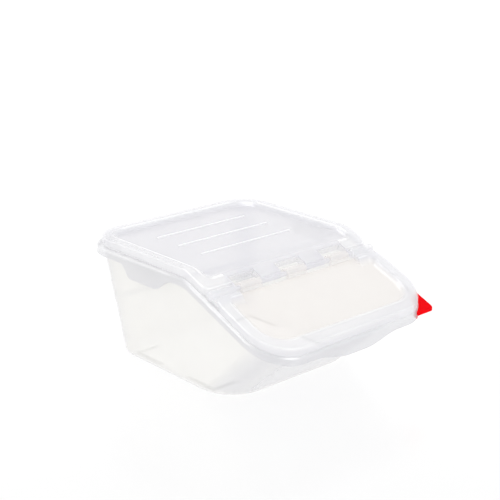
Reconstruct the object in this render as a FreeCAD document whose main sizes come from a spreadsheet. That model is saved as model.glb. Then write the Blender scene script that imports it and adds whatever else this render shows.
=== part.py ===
import FreeCAD, Part
import math
import os
import Sketcher
from types import SimpleNamespace
from FreeCAD import Placement, Rotation, Vector

# Driving sizes in millimetres, angles in degrees, shares without a unit.
SIZES = (
    ("rim_width", 402.5, "tub rim across the back, its sides drawn on to the corners"),
    ("rim_taper", 9.75, "rim's side drawn in from the back to the front"),
    ("rim_depth", 505.0, "tub rim from back to front"),
    ("rim_back_radius", 74.5, "plan radius of the rim's back corners"),
    ("rim_front_radius", 77.0, "plan radius of the rim's front corners"),
    ("rim_thickness", 2.5, "thickness of the rim and its skirt"),
    ("rim_bevel", 4.5, "bevel between the rim and its skirt"),
    ("rim_skirt", 12.5, "height of the skirt under the rim"),
    ("rim_overhang", 16.0, "rim beyond the tub wall at the back"),
    ("rim_front_overhang", 13.2, "rim beyond the tub wall at the front"),
    ("total_height", 228.0, "lid border above the ground"),
    ("flat_share", 0.5812, "flat part as a share of the rim's depth"),
    ("slope_angle", 23.0, "fall of the front part"),
    ("bend_radius", 65.0, "rounding of the bend between flat and slope"),
    ("tub_wall", 2.5, "wall of the tub"),
    ("tub_floor", 3.0, "floor of the tub"),
    ("base_side_inset", 43.25, "side of the base inside the rim's side at the back"),
    ("base_inset", 42.5, "back of the base in front of the rim's back edge"),
    ("base_front_inset", 152.5, "front of the base behind the rim's front edge"),
    ("base_back_radius", 38.0, "plan radius of the base at the back"),
    ("base_front_radius", 70.0, "plan radius of the base at the front"),
    ("mouth_side_inset", 17.25, "tub wall under the rim inside the rim's side at the back"),
    ("mouth_back_radius", 48.0, "plan radius of the wall at the back under the rim"),
    ("base_bevel", 7.0, "bevel between the base and the wall"),
    ("step_height", 100.0, "stacking step above the ground"),
    ("step_depth", 2.0, "stacking step across the back wall"),
    ("channel_depth", 1.2, "depth of a stacking channel under the base"),
    ("channel_width", 7.0, "width of a stacking channel"),
    ("channel_side", 76.0, "length of a stacking channel along the side"),
    ("channel_across", 51.0, "length of a stacking channel along the back or front"),
    ("channel_inset", 16.0, "stacking channel inside the base's side"),
    ("channel_back_inset", 35.0, "stacking channel inside the base's back"),
    ("channel_front_inset", 50.0, "stacking channel inside the base's front"),
    ("grip_length", 116.0, "side grip along the rim"),
    ("grip_depth", 24.0, "side grip below the skirt"),
    ("grip_run", 20.0, "slanting end of the side grip"),
    ("grip_radius", 20.0, "rounding of the side grip's corners"),
    ("grip_place", 160.5, "middle of the side grip in front of the rim's back edge"),
    ("pull_length", 170.0, "front grip across"),
    ("pull_depth", 13.0, "front grip below the skirt"),
    ("pull_run", 52.0, "slanting end of the front grip"),
    ("pull_radius", 60.0, "rounding of the front grip's corners"),
    ("lid_side_inset", 11.75, "lid border inside the rim's side at the back"),
    ("lid_inset", 10.5, "lid border inside the rim at the back"),
    ("lid_front_inset", 2.0, "lid border inside the rim at the front"),
    ("lid_back_radius", 64.0, "plan radius of the lid's back corners"),
    ("lid_front_radius", 75.0, "plan radius of the lid's front corners"),
    ("lid_height", 14.5, "lid border above the rim"),
    ("lid_wall", 2.5, "wall of both lids"),
    ("lid_bevel", 2.0, "bevel of the lids' outer top edge"),
    ("border_width", 19.5, "raised border of both lids"),
    ("panel_depth", 8.0, "panels below the border"),
    ("panel_taper", 58.4, "lean of the dished walls from upright"),
    ("panel_radius", 20.0, "corner radius of the panels at the bend"),
    ("ramp_depth", 4.0, "sloping panel of the rear lid below the border"),
    ("ramp_length", 34.0, "sloping panel of the rear lid below the bend"),
    ("rib_inset", 65.0, "end of a rib inside the panel's side"),
    ("rib_width", 5.0, "width of a rib"),
    ("rib_height", 2.5, "rib above the panel"),
    ("rib_pitch", 62.25, "spacing of the ribs"),
    ("rib_place", 104.5, "first rib in front of the rim's back edge"),
    ("plug_depth", 10.0, "locating lip below the rim"),
    ("plug_wall", 2.0, "thickness of the locating lip"),
    ("plug_clearance", 2.5, "locating lip inside the tub's mouth"),
    ("plug_stop", 12.0, "front end of the locating lip behind the bend"),
    ("hinge_place", 66.0, "hinge axis below the bend along the slope"),
    ("hinge_sink", 5.0, "hinge axis below the border"),
    ("ear_length", 53.7, "length of a round ear"),
    ("rod_radius", 4.5, "hinge rod"),
    ("stub_radius", 3.0, "pin at each end of the hinge rod"),
    ("stub_length", 10.0, "pin beyond the end of the hinge rod"),
    ("hinge_clearance", 0.1, "radial clearance of the hinge"),
    ("ear_radius", 8.0, "round ear at each end of the hinge"),
    ("ear_gap", 0.8, "gap between an ear and the rear lid"),
    ("web_thickness", 4.0, "web between an ear and the flap's side border"),
    ("hook_wall", 2.6, "wall of a snap hook"),
    ("hook_gap", 7.0, "gap between a snap hook and its window's side"),
    ("hook_mouth", 8.0, "opening of a snap hook"),
    ("window_share", 0.215, "hinge window across as a share of the hinge rod"),
    ("window_length", 23.0, "hinge window behind the hinge axis"),
    ("window_margin", 3.0, "hinge window inside the end of the hinge rod"),
    ("flap_gap", 7.5, "upper edge of the flap in front of the hinge axis"),
    ("lug_reach", 13.0, "side border of the flap in front of the hinge axis"),
    ("lug_length", 6.0, "side border of the flap above its panel"),
    ("clip_size", 42.0, "sides of the clip's square corner"),
    ("clip_radius", 8.0, "rounding of the clip's square corner"),
    ("clip_overhang", 1.5, "clip beyond the rim's side"),
    ("clip_front_inset", 3.3, "clip behind the rim's front edge"),
    ("clip_drop", 3.0, "clip below the lid"),
    ("clip_thickness", 4.0, "thickness of the clip's plate"),
    ("clip_wall", 2.0, "wall of the clip's hook"),
    ("clip_catch", 5.0, "clip's hook behind the skirt"),
    ("fit_clearance", 0.3, "clearance between the clip and the rim"),
    ("overrun", 5.0, "length by which a cut passes the solid"),
    ("near_share", 0.00001, "closeness of an edge to a line as a share of the rim width"),
)

doc = FreeCAD.newDocument("ingredient_bin")
sheet = doc.addObject("Spreadsheet::Sheet", "Sizes")
for row, (alias, value, note) in enumerate(SIZES, start=1):
    sheet.set(f"A{row}", alias)
    sheet.set(f"B{row}", str(value))
    sheet.set(f"C{row}", note)
    sheet.setAlias(f"B{row}", alias)
doc.recompute()


class Size:
    """A size of the part: its number and the sheet formula that gives it."""

    def __init__(self, number, formula):
        self.number = number
        self.formula = formula

    @staticmethod
    def of(value):
        return value if isinstance(value, Size) else Size(float(value), str(value))

    def joined(self, sign, number, other):
        return Size(number, f"({self.formula} {sign} {other.formula})")

    def __add__(self, value):
        other = Size.of(value)
        return self.joined("+", self.number + other.number, other)

    def __sub__(self, value):
        other = Size.of(value)
        return self.joined("-", self.number - other.number, other)

    def __mul__(self, value):
        other = Size.of(value)
        return self.joined("*", self.number * other.number, other)

    def __truediv__(self, value):
        other = Size.of(value)
        return self.joined("/", self.number / other.number, other)

    def __neg__(self):
        return Size(0.0, "0") - self


def sine(angle):
    return Size(math.sin(math.radians(angle.number)), f"sin({angle.formula})")


def cosine(angle):
    return Size(math.cos(math.radians(angle.number)), f"cos({angle.formula})")


def tangent(angle):
    return Size(math.tan(math.radians(angle.number)), f"tan({angle.formula})")


def root(share):
    return Size(math.sqrt(share.number), f"sqrt({share.formula})")


size = SimpleNamespace(**{alias: Size(value, f"Sizes.{alias}") for alias, value, note in SIZES})
nothing = Size(0.0, "0")

# Sketching and feature helpers.


def bind(thing, path, value):
    thing.setExpression(path, value.formula)


def new_body(name):
    return doc.addObject("PartDesign::Body", name)


def new_sketch(body, name, role, ahead=nothing, height=nothing, tilt=None):
    """Sketch on an origin plane of the body, moved along the plane's y and normal and tilted about its x."""
    sketch = body.newObject("Sketcher::SketchObject", name)
    plane = next(item for item in body.Origin.OriginFeatures if item.Role == role)
    sketch.AttachmentSupport = [(plane, "")]
    sketch.MapMode = "FlatFace"
    turn = Rotation(Vector(1, 0, 0), tilt.number if tilt else 0)
    sketch.AttachmentOffset = Placement(Vector(0, ahead.number, height.number), turn)
    bind(sketch, "AttachmentOffset.Base.y", ahead)
    bind(sketch, "AttachmentOffset.Base.z", height)
    if tilt:
        bind(sketch, "AttachmentOffset.Rotation.Angle", tilt)
    return sketch


class Drawing:
    """Collects a sketch's geometry and its bound constraints."""

    def __init__(self, sketch):
        self.sketch = sketch
        self.rules = []
        self.bound = []

    def rule(self, *terms):
        self.rules.append(Sketcher.Constraint(*terms))

    def measure(self, kind, *terms):
        *places, value = terms
        self.bound.append((len(self.rules), value))
        self.rule(kind, *places, value.number)

    def fix(self, item, end, across, up):
        for kind, axis, value in (("DistanceX", -2, across), ("DistanceY", -1, up)):
            if value is nothing:
                self.rule("PointOnObject", item, end, axis)
            else:
                self.measure(kind, -1, 1, item, end, value)

    def finish(self):
        self.sketch.addConstraint(self.rules)
        for index, value in self.bound:
            bind(self.sketch, f"Constraints[{index}]", value)
        return self.sketch


def draw_circle(sketch, across, up, radius):
    drawing = Drawing(sketch)
    centre = Vector(across.number, up.number, 0)
    item = sketch.addGeometry(Part.Circle(centre, Vector(0, 0, 1), radius.number), False)
    drawing.fix(item, 3, across, up)
    drawing.measure("Radius", item, radius)
    return drawing.finish()


def draw_outline(sketch, corners):
    """Closed outline through the corners, each (across, up) or (across, up, radius) when it is rounded."""
    drawing = Drawing(sketch)
    count = len(corners)
    points = [Vector(corner[0].number, corner[1].number, 0) for corner in corners]
    starts = list(points)
    ends = list(points)
    arcs = {}
    for index, corner in enumerate(corners):
        if len(corner) < 3:
            continue
        before = (points[index - 1] - points[index]).normalize()
        after = (points[(index + 1) % count] - points[index]).normalize()
        radius = corner[2].number
        half = before.getAngle(after) / 2
        starts[index] = points[index] + before * (radius / math.tan(half))
        ends[index] = points[index] + after * (radius / math.tan(half))
        centre = points[index] + (before + after).normalize() * (radius / math.sin(half))
        left = before.cross(after).z < 0
        first = starts[index] if left else ends[index]
        last = ends[index] if left else starts[index]
        angles = [math.atan2(place.y - centre.y, place.x - centre.x) for place in (first, last)]
        if angles[1] < angles[0]:
            angles[1] += 2 * math.pi
        arcs[index] = (Part.ArcOfCircle(Part.Circle(centre, Vector(0, 0, 1), radius), *angles), left)
    lines = [Part.LineSegment(ends[index], starts[(index + 1) % count]) for index in range(count)]
    line_items = sketch.addGeometry(lines, False)
    for index, corner in enumerate(corners):
        line_in = line_items[index - 1]
        line_out = line_items[index]
        if index not in arcs:
            drawing.rule("Coincident", line_in, 2, line_out, 1)
            drawing.fix(line_out, 1, corner[0], corner[1])
            continue
        arc, left = arcs[index]
        arc_item = sketch.addGeometry(arc, False)
        mark = sketch.addGeometry(Part.Point(points[index]), True)
        drawing.rule("Tangent", line_in, 2, arc_item, 1 if left else 2)
        drawing.rule("Tangent", line_out, 1, arc_item, 2 if left else 1)
        drawing.measure("Radius", arc_item, corner[2])
        drawing.rule("PointOnObject", mark, 1, line_in)
        drawing.rule("PointOnObject", mark, 1, line_out)
        drawing.fix(mark, 1, corner[0], corner[1])
    return drawing.finish()


def pad(body, profile, length, symmetric=False, backward=False):
    feature = body.newObject("PartDesign::Pad", f"{profile.Name}_pad")
    feature.Profile = profile
    feature.SideType = "Symmetric" if symmetric else "One side"
    feature.Reversed = backward
    feature.Length = length.number
    bind(feature, "Length", length)
    doc.recompute()
    return feature


def pocket(body, profile, length, symmetric=False):
    before = body.Shape.Volume
    feature = body.newObject("PartDesign::Pocket", f"{profile.Name}_pocket")
    feature.Profile = profile
    feature.SideType = "Symmetric" if symmetric else "One side"
    feature.Length = length.number
    bind(feature, "Length", length)
    doc.recompute()
    if not body.Shape.Volume < before:
        raise RuntimeError(f"{feature.Name} removes nothing")
    return feature


def loft(body, profile, section):
    feature = body.newObject("PartDesign::AdditiveLoft", f"{profile.Name}_loft")
    feature.Profile = profile
    feature.Sections = [section]
    feature.Ruled = True
    doc.recompute()
    return feature


def chamfer(body, name, width, chosen):
    base = body.Tip
    picked = [f"Edge{index}" for index, edge in enumerate(base.Shape.Edges, start=1) if chosen(edge)]
    feature = body.newObject("PartDesign::Chamfer", name)
    feature.Base = (base, picked)
    feature.Size = width.number
    bind(feature, "Size", width)
    doc.recompute()
    return feature


def combine(kind, name, base, tool, merged=True):
    result = doc.addObject(kind, name)
    result.Base = base
    result.Tool = tool
    result.Refine = merged
    doc.recompute()
    return result


def cut(name, base, tool):
    return combine("Part::Cut", name, base, tool)


def fuse(name, base, tool, merged=True):
    return combine("Part::Fuse", name, base, tool, merged)


def common(name, base, tool):
    return combine("Part::Common", name, base, tool)


def round_bar(name, radius, start, length, up, ahead):
    """Cylinder along x from a start, its axis at the given height and depth."""
    bar = doc.addObject("Part::Cylinder", name)
    bar.Placement = Placement(Vector(start.number, ahead.number, up.number), Rotation(Vector(0, 1, 0), 90))
    bind(bar, "Radius", radius)
    bind(bar, "Height", length)
    bind(bar, "Placement.Base.x", start)
    bind(bar, "Placement.Base.y", ahead)
    bind(bar, "Placement.Base.z", up)
    return bar


# Shared lines: the flat part, the bend and the slope.
back = size.rim_depth / 2
front = -back
bend = back - size.rim_depth * size.flat_share
fall = tangent(size.slope_angle)
far_back = back + size.overrun
far_front = front - size.overrun
across_all = size.rim_width + size.overrun * 2
near = size.near_share * size.rim_width
rim_front_width = size.rim_width - size.rim_taper * 2
base_width = size.rim_width - size.base_side_inset * 2
mouth_width = size.rim_width - size.mouth_side_inset * 2


def level(drop):
    """Height of the flat part at a drop below the lid border."""
    return size.total_height - drop


def front_level(drop, ahead):
    """Height of the slope at a drop below the lid border."""
    return level(drop) - (bend - ahead) * fall


def on_slope(along, out):
    """Depth and height of a point down the slope from the bend and out from the border."""
    ahead = bend - along * cosine(size.slope_angle) - out * sine(size.slope_angle)
    up = level(nothing) - along * sine(size.slope_angle) + out * cosine(size.slope_angle)
    return ahead, up


def line_corners(drop, far):
    """Side view of what lies between the line at a drop and a far height."""
    return [
        (far_back, level(drop)),
        (bend, level(drop), size.bend_radius),
        (far_front, front_level(drop, far_front)),
        (far_front, far),
        (far_back, far),
    ]


def trim_above(body, name, drop):
    sketch = new_sketch(body, name, "YZ_Plane")
    draw_outline(sketch, line_corners(drop, size.total_height + size.overrun))
    return pocket(body, sketch, across_all, symmetric=True)


def trim_below(body, name, drop):
    sketch = new_sketch(body, name, "YZ_Plane")
    draw_outline(sketch, line_corners(drop, -size.overrun))
    return pocket(body, sketch, across_all, symmetric=True)


def block(name, corners, bottom, top):
    """Upright prism over a plan outline."""
    body = new_body(name)
    sketch = new_sketch(body, f"{name}_plan", "XY_Plane", height=bottom)
    draw_outline(sketch, corners)
    pad(body, sketch, top - bottom)
    return body


def side_block(name, corners, width, place=nothing):
    """Prism along x over a side view, centred on a place."""
    body = new_body(name)
    sketch = new_sketch(body, f"{name}_side", "YZ_Plane", height=place)
    draw_outline(sketch, corners)
    pad(body, sketch, width, symmetric=True)
    return body


def rounded_box(half, rear, fore, rear_radius, fore_radius):
    """Plan outline symmetric about the middle, from the rear to the fore."""
    return [
        (half, rear, rear_radius),
        (-half, rear, rear_radius),
        (-half, fore, fore_radius),
        (half, fore, fore_radius),
    ]


def square_box(half, rear, fore):
    return [(half, rear), (-half, rear), (-half, fore), (half, fore)]


def on_border(edge, drop):
    """True for an edge of the outer outline that lies on the line at a drop."""
    sag = size.bend_radius / cosine(size.slope_angle / 2) - size.bend_radius
    for end in (edge.FirstParameter, edge.LastParameter, (edge.FirstParameter + edge.LastParameter) / 2):
        place = edge.valueAt(end)
        height = level(drop).number - max(0, bend.number - place.y) * fall.number
        if place.z > height + near.number or place.z < height - sag.number - near.number:
            return False
    box = edge.BoundBox
    inner_back = back.number - size.rim_overhang.number
    if box.YMax > inner_back or box.YMin < -inner_back:
        return True
    widest = rim_front_width.number / 2 - size.rim_thickness.number
    return box.YLength > near.number and max(box.XMax, -box.XMin) > widest - size.border_width.number


# Tub: drafted walls in two stages, with the back set in below the stacking step.
rim_level = level(size.lid_height)
base_back = back - size.base_inset
base_front = front + size.base_front_inset
lean_share = (size.base_front_inset - size.rim_front_overhang) / front_level(size.lid_height, front)
lean_length = root(lean_share * lean_share + 1)
ledge = size.step_height + size.tub_wall
above_rim = rim_level + size.overrun


def wall_outline(height, inset, set_in):
    """Plan of the tub wall at a height, moved in by an inset."""
    draft_share = height / rim_level
    half = base_width / 2 + (mouth_width - base_width) / 2 * draft_share
    rear = base_back + (size.base_inset - size.rim_overhang) * draft_share - set_in
    fore = base_front - height * lean_share + inset * lean_length
    rear_radius = size.base_back_radius + (size.mouth_back_radius - size.base_back_radius) * draft_share
    return rounded_box(half - inset, rear - inset, fore, rear_radius - inset, size.base_front_radius - inset)


def stage(name, low, high, inset, set_in):
    """Drafted block of the tub between two heights."""
    body = new_body(name)
    lower = new_sketch(body, f"{name}_low", "XY_Plane", height=low)
    draw_outline(lower, wall_outline(low, inset, set_in))
    upper = new_sketch(body, f"{name}_high", "XY_Plane", height=high)
    draw_outline(upper, wall_outline(high, inset, set_in))
    loft(body, upper, lower)
    return body


def at_height(height):
    return lambda edge: edge.BoundBox.ZMax < height.number + near.number


tub_low = stage("tub_low", nothing, size.step_height, nothing, size.step_depth)
chamfer(tub_low, "base_edge", size.base_bevel, at_height(nothing))
tub_high = stage("tub_high", size.step_height, above_rim, nothing, nothing)
hollow_low = stage("hollow_low", size.tub_floor, ledge, size.tub_wall, size.step_depth)
chamfer(hollow_low, "floor_edge", size.base_bevel - size.tub_wall, at_height(size.tub_floor))
hollow_high = stage("hollow_high", ledge, above_rim + size.overrun, size.tub_wall, nothing)
walls = fuse("walls", tub_low, tub_high, merged=False)
hollow = fuse("hollow", hollow_low, hollow_high, merged=False)
crown = block("crown", square_box(across_all / 2, far_back, far_front * 2), nothing, above_rim + size.overrun)
trim_below(crown, "crown_line", size.lid_height)
walls_trimmed = cut("walls_trimmed", walls, crown)


def rim_outline(inset):
    """Plan of the rim, a little narrower at the front."""
    back_half = size.rim_width / 2 - inset
    front_half = rim_front_width / 2 - inset
    return [
        (back_half, back - inset, size.rim_back_radius - inset),
        (-back_half, back - inset, size.rim_back_radius - inset),
        (-front_half, front + inset, size.rim_front_radius - inset),
        (front_half, front + inset, size.rim_front_radius - inset),
    ]


skirt_drop = size.lid_height + size.rim_skirt
rim_form = block("rim_form", rim_outline(nothing), nothing, size.total_height)
trim_above(rim_form, "rim_top", size.lid_height)
trim_below(rim_form, "rim_bottom", skirt_drop)
chamfer(rim_form, "rim_edge", size.rim_bevel, lambda edge: on_border(edge, size.lid_height))
rim_core = block("rim_core", rim_outline(size.rim_thickness), nothing, size.total_height)
core_drop = size.lid_height + size.rim_thickness
trim_above(rim_core, "rim_core_top", core_drop)
core_bevel = size.rim_bevel - size.rim_thickness
chamfer(rim_core, "rim_core_edge", core_bevel, lambda edge: on_border(edge, core_drop))
rim = cut("rim", rim_form, rim_core)

# Grips: the skirt reaches lower at both sides and at the front.
ring_form = block("ring_form", rim_outline(nothing), nothing, rim_level)
ring_core = block("ring_core", rim_outline(size.rim_thickness), -size.overrun, rim_level + size.overrun)
ring = cut("ring", ring_form, ring_core)


def grip_outline(middle, length, run, depth, radius, line, overlap):
    """Side view of a grip that hangs from a line in one rounded sweep."""
    half = length / 2
    return [
        (middle + half + run, line + overlap),
        (middle - half - run, line + overlap),
        (middle - half - run, line),
        (middle - half, line, radius),
        (middle - half + run, line - depth, radius),
        (middle + half - run, line - depth, radius),
        (middle + half, line, radius),
        (middle + half + run, line),
    ]


side_grips = side_block("side_grips", grip_outline(
    back - size.grip_place, size.grip_length, size.grip_run, size.grip_depth, size.grip_radius,
    level(skirt_drop), size.rim_thickness), across_all)
front_pull = new_body("front_pull")
pull_view = new_sketch(front_pull, "pull_view", "XZ_Plane", height=back - size.rim_bevel)
draw_outline(pull_view, grip_outline(
    nothing, size.pull_length, size.pull_run, size.pull_depth, size.pull_radius,
    front_level(skirt_drop, front), size.rim_thickness))
pad(front_pull, pull_view, size.rim_bevel + size.overrun)
grip_forms = fuse("grip_forms", side_grips, front_pull)
grips = common("grips", ring, grip_forms)
rim_and_grips = fuse("rim_and_grips", rim, grips)
solid_tub = fuse("solid_tub", walls_trimmed, rim_and_grips)
tub = cut("open_tub", solid_tub, hollow)

# Stacking channels: an L under each corner of the base.
channel_x = base_width / 2 - size.channel_inset
channel_back = base_back - size.channel_back_inset
channel_front = base_front + size.channel_front_inset
for name, end_y, turn in (("back_channel", channel_back, 1), ("front_channel", channel_front, -1)):
    for side_name, side in (("right", 1), ("left", -1)):
        channel_plan = [
            (channel_x * side, end_y),
            ((channel_x - size.channel_across) * side, end_y),
            ((channel_x - size.channel_across) * side, end_y - size.channel_width * turn),
            ((channel_x - size.channel_width) * side, end_y - size.channel_width * turn),
            ((channel_x - size.channel_width) * side, end_y - size.channel_side * turn),
            (channel_x * side, end_y - size.channel_side * turn),
        ]
        channel = block(f"{name}_{side_name}", channel_plan, -size.overrun, size.channel_depth)
        tub = cut(f"tub_with_{name}_{side_name}", tub, channel)

# Lids: what both share.
lid_half = size.rim_width / 2 - size.lid_side_inset
lid_back = back - size.lid_inset
lid_front = front + size.lid_front_inset
hinge_half = lid_half - size.ear_length - size.ear_gap
window_width = hinge_half * 2 * size.window_share
window_pitch = hinge_half - window_width / 2 - size.window_margin
hook_width = window_width - size.hook_gap * 2
axis_y, axis_z = on_slope(size.hinge_place, -size.hinge_sink)
panel_half = lid_half - size.border_width


def dish(body, name, outline, depth, sink, tilted):
    """Dished panel below the border plane lowered by a sink; its outline narrows with depth."""
    before = body.Shape.Volume
    sections = []
    for end, rise in (("top", size.overrun), ("bottom", -depth)):
        ahead, up = on_slope(nothing, rise) if tilted else (nothing, level(nothing) + rise)
        tilt = size.slope_angle if tilted else None
        sketch = new_sketch(body, f"{name}_{end}", "XY_Plane", ahead=ahead, height=up - sink, tilt=tilt)
        sections.append(draw_outline(sketch, outline(rise * tangent(size.panel_taper))))
    feature = body.newObject("PartDesign::SubtractiveLoft", name)
    feature.Profile = sections[0]
    feature.Sections = sections[1:]
    feature.Ruled = True
    doc.recompute()
    if not body.Shape.Volume < before:
        raise RuntimeError(f"{name} removes nothing")


# Rear lid: border and skirt, dished panels on the flat and on the slope.
notch_y = axis_y + size.ear_radius + size.ear_gap


def rear_outline(inset):
    """Plan of the rear lid with a notch for each ear of the hinge."""
    half = lid_half - inset
    middle = hinge_half - inset
    return [
        (half, lid_back - inset, size.lid_back_radius - inset),
        (-half, lid_back - inset, size.lid_back_radius - inset),
        (-half, notch_y + inset),
        (-middle, notch_y + inset),
        (-middle, axis_y + inset),
        (middle, axis_y + inset),
        (middle, notch_y + inset),
        (half, notch_y + inset),
    ]


def flat_panel(grow):
    radius = size.lid_back_radius - size.border_width + grow
    rear = lid_back - size.border_width + grow
    fore = bend - size.ramp_length - grow
    return rounded_box(panel_half + grow, rear, fore, radius, size.panel_radius + grow)


def ramp_panel(grow):
    radius = size.panel_radius + grow
    return rounded_box(panel_half + grow, size.ramp_length + grow, -size.ramp_length - grow, radius, radius)


def rear_dishes(body, name, sink):
    dish(body, f"{name}_flat", flat_panel, size.panel_depth, sink, tilted=False)
    dish(body, f"{name}_ramp", ramp_panel, size.ramp_depth, sink, tilted=True)


rear_form = block("rear_form", rear_outline(nothing), nothing, size.total_height)
trim_above(rear_form, "rear_top", nothing)
trim_below(rear_form, "rear_bottom", size.lid_height)
chamfer(rear_form, "rear_edge", size.lid_bevel, lambda edge: on_border(edge, nothing))
rear_dishes(rear_form, "rear_dish", nothing)
rear_core = block("rear_core", rear_outline(size.lid_wall), nothing, size.total_height)
trim_above(rear_core, "rear_core_top", size.lid_wall)
rear_dishes(rear_core, "rear_core_dish", size.lid_wall)
rear_lid = cut("rear_shell", rear_form, rear_core)

# Ribs across the flat panel.
for name, steps in (("back_rib", 0), ("middle_rib", 1), ("front_rib", 2)):
    rib_y = back - size.rib_place - size.rib_pitch * steps
    plan = square_box(panel_half - size.rib_inset, rib_y + size.rib_width / 2, rib_y - size.rib_width / 2)
    panel_level = level(size.panel_depth)
    rib = block(name, plan, panel_level - size.lid_wall / 2, panel_level + size.rib_height)
    rear_lid = fuse(f"rear_with_{name}", rear_lid, rib)

# Locating lip inside the tub's mouth.
plug_half = mouth_width / 2 - size.tub_wall - size.plug_clearance
plug_back = back - size.rim_overhang - size.tub_wall - size.plug_clearance
plug_radius = size.mouth_back_radius - size.tub_wall - size.plug_clearance
plug_front = bend + size.plug_stop


def plug_outline(inset, fore):
    half = plug_half - inset
    radius = plug_radius - inset
    rear = plug_back - inset
    return [(half, rear, radius), (-half, rear, radius), (-half, fore), (half, fore)]


plug_level = level(size.lid_height + size.plug_depth)
plug_form = block("plug_form", plug_outline(nothing, plug_front), plug_level, level(size.lid_wall / 2))
plug_hollow = plug_outline(size.plug_wall, plug_front - size.overrun)
plug_core = block("plug_core", plug_hollow, nothing, size.total_height)
plug = cut("plug", plug_form, plug_core)
rear_lid = fuse("rear_with_plug", rear_lid, plug)

# Hinge windows with their side walls, then the rod with a pin at each end.
window_back = axis_y + size.window_length
window_front = axis_y - size.rod_radius - size.overrun
for name, steps in (("left_window", -1), ("middle_window", 0), ("right_window", 1)):
    place = window_pitch * steps
    half = window_width / 2
    outer = half + size.lid_wall
    frame_plan = [
        (place + outer, window_back + size.lid_wall),
        (place - outer, window_back + size.lid_wall),
        (place - outer, axis_y),
        (place + outer, axis_y),
    ]
    frame = block(f"{name}_frame", frame_plan, nothing, size.total_height)
    trim_above(frame, f"{name}_frame_top", size.lid_wall / 2)
    trim_below(frame, f"{name}_frame_bottom", size.lid_height)
    rear_lid = fuse(f"rear_with_{name}_frame", rear_lid, frame)
    hole_plan = [
        (place + half, window_back),
        (place - half, window_back),
        (place - half, window_front),
        (place + half, window_front),
    ]
    hole = block(name, hole_plan, nothing, size.total_height + size.overrun)
    rear_lid = cut(f"rear_with_{name}", rear_lid, hole)
rod = round_bar("rod", size.rod_radius, -hinge_half, hinge_half * 2, axis_z, axis_y)
pin_start = -hinge_half - size.stub_length
pins = round_bar("pins", size.stub_radius, pin_start, pin_start * -2, axis_z, axis_y)
rear_lid = fuse("rear_with_rod", rear_lid, fuse("rod_and_pins", rod, pins))

# Front flap: border and skirt, dished panel, lowered beside the hinge.
flap_edge = axis_y - size.flap_gap
lug_end = size.hinge_place + size.lug_reach
panel_top = -lug_end - size.lug_length


def flap_outline(inset):
    """Plan of the flap from the hinge to the front."""
    half = lid_half - inset
    return [
        (half, flap_edge - inset),
        (-half, flap_edge - inset),
        (-half, lid_front + inset, size.lid_front_radius - inset),
        (half, lid_front + inset, size.lid_front_radius - inset),
    ]


def flap_panel(grow):
    radius = size.lid_front_radius - size.border_width + grow
    lower = -(bend - lid_front - size.border_width) / cosine(size.slope_angle) - grow
    return rounded_box(panel_half + grow, panel_top + grow, lower, size.panel_radius + grow, radius)


def flap_dishes(body, name, sink):
    dish(body, f"{name}_panel", flap_panel, size.panel_depth, sink, tilted=True)
    low = level(sink)
    sketch = new_sketch(body, f"{name}_middle", "XY_Plane", ahead=bend, height=low, tilt=size.slope_angle)
    upper = size.overrun - size.hinge_place
    draw_outline(sketch, square_box(hinge_half, upper, panel_top - size.panel_radius))
    pocket(body, sketch, size.panel_depth)
    sketch = new_sketch(body, f"{name}_ears", "YZ_Plane")
    reach = lug_end + sink
    draw_outline(sketch, [
        on_slope(size.hinge_place - size.ear_radius, -size.hinge_sink - sink),
        on_slope(reach, -size.hinge_sink - sink),
        on_slope(reach, size.overrun),
        on_slope(size.hinge_place - size.ear_radius, size.overrun),
    ])
    pocket(body, sketch, across_all, symmetric=True)


flap_form = block("flap_form", flap_outline(nothing), nothing, size.total_height)
trim_above(flap_form, "flap_top", nothing)
trim_below(flap_form, "flap_bottom", size.lid_height)
chamfer(flap_form, "flap_border", size.lid_bevel, lambda edge: on_border(edge, nothing))
flap_dishes(flap_form, "flap_dish", nothing)
flap_core = block("flap_core", flap_outline(size.lid_wall), nothing, size.total_height)
trim_above(flap_core, "flap_core_top", size.lid_wall)
flap_dishes(flap_core, "flap_core_dish", size.lid_wall)
flap = cut("flap_shell", flap_form, flap_core)

# Ears on the pins at both ends of the rod.
bore_radius = size.stub_radius + size.hinge_clearance
bore_length = size.stub_length + size.ear_gap + size.overrun
for name, ear_start, bore_start in (
        ("right_ear", hinge_half + size.ear_gap, hinge_half - size.overrun),
        ("left_ear", -lid_half, -hinge_half + size.overrun - bore_length)):
    ear = round_bar(name, size.ear_radius, ear_start, size.ear_length, axis_z, axis_y)
    flap = fuse(f"flap_with_{name}", flap, ear)
    web_end = lug_end + size.lid_wall
    web_low = -size.hinge_sink - size.web_thickness
    web = side_block(f"{name}_web", [
        on_slope(size.hinge_place, -size.hinge_sink),
        on_slope(size.hinge_place, web_low),
        on_slope(web_end, web_low),
        on_slope(web_end, -size.hinge_sink),
    ], size.ear_length, place=ear_start + size.ear_length / 2)
    flap = fuse(f"flap_with_{name}_web", flap, web)
    bore = round_bar(f"{name}_bore", bore_radius, bore_start, bore_length, axis_z, axis_y)
    flap = cut(f"flap_with_{name}_bore", flap, bore)

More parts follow.
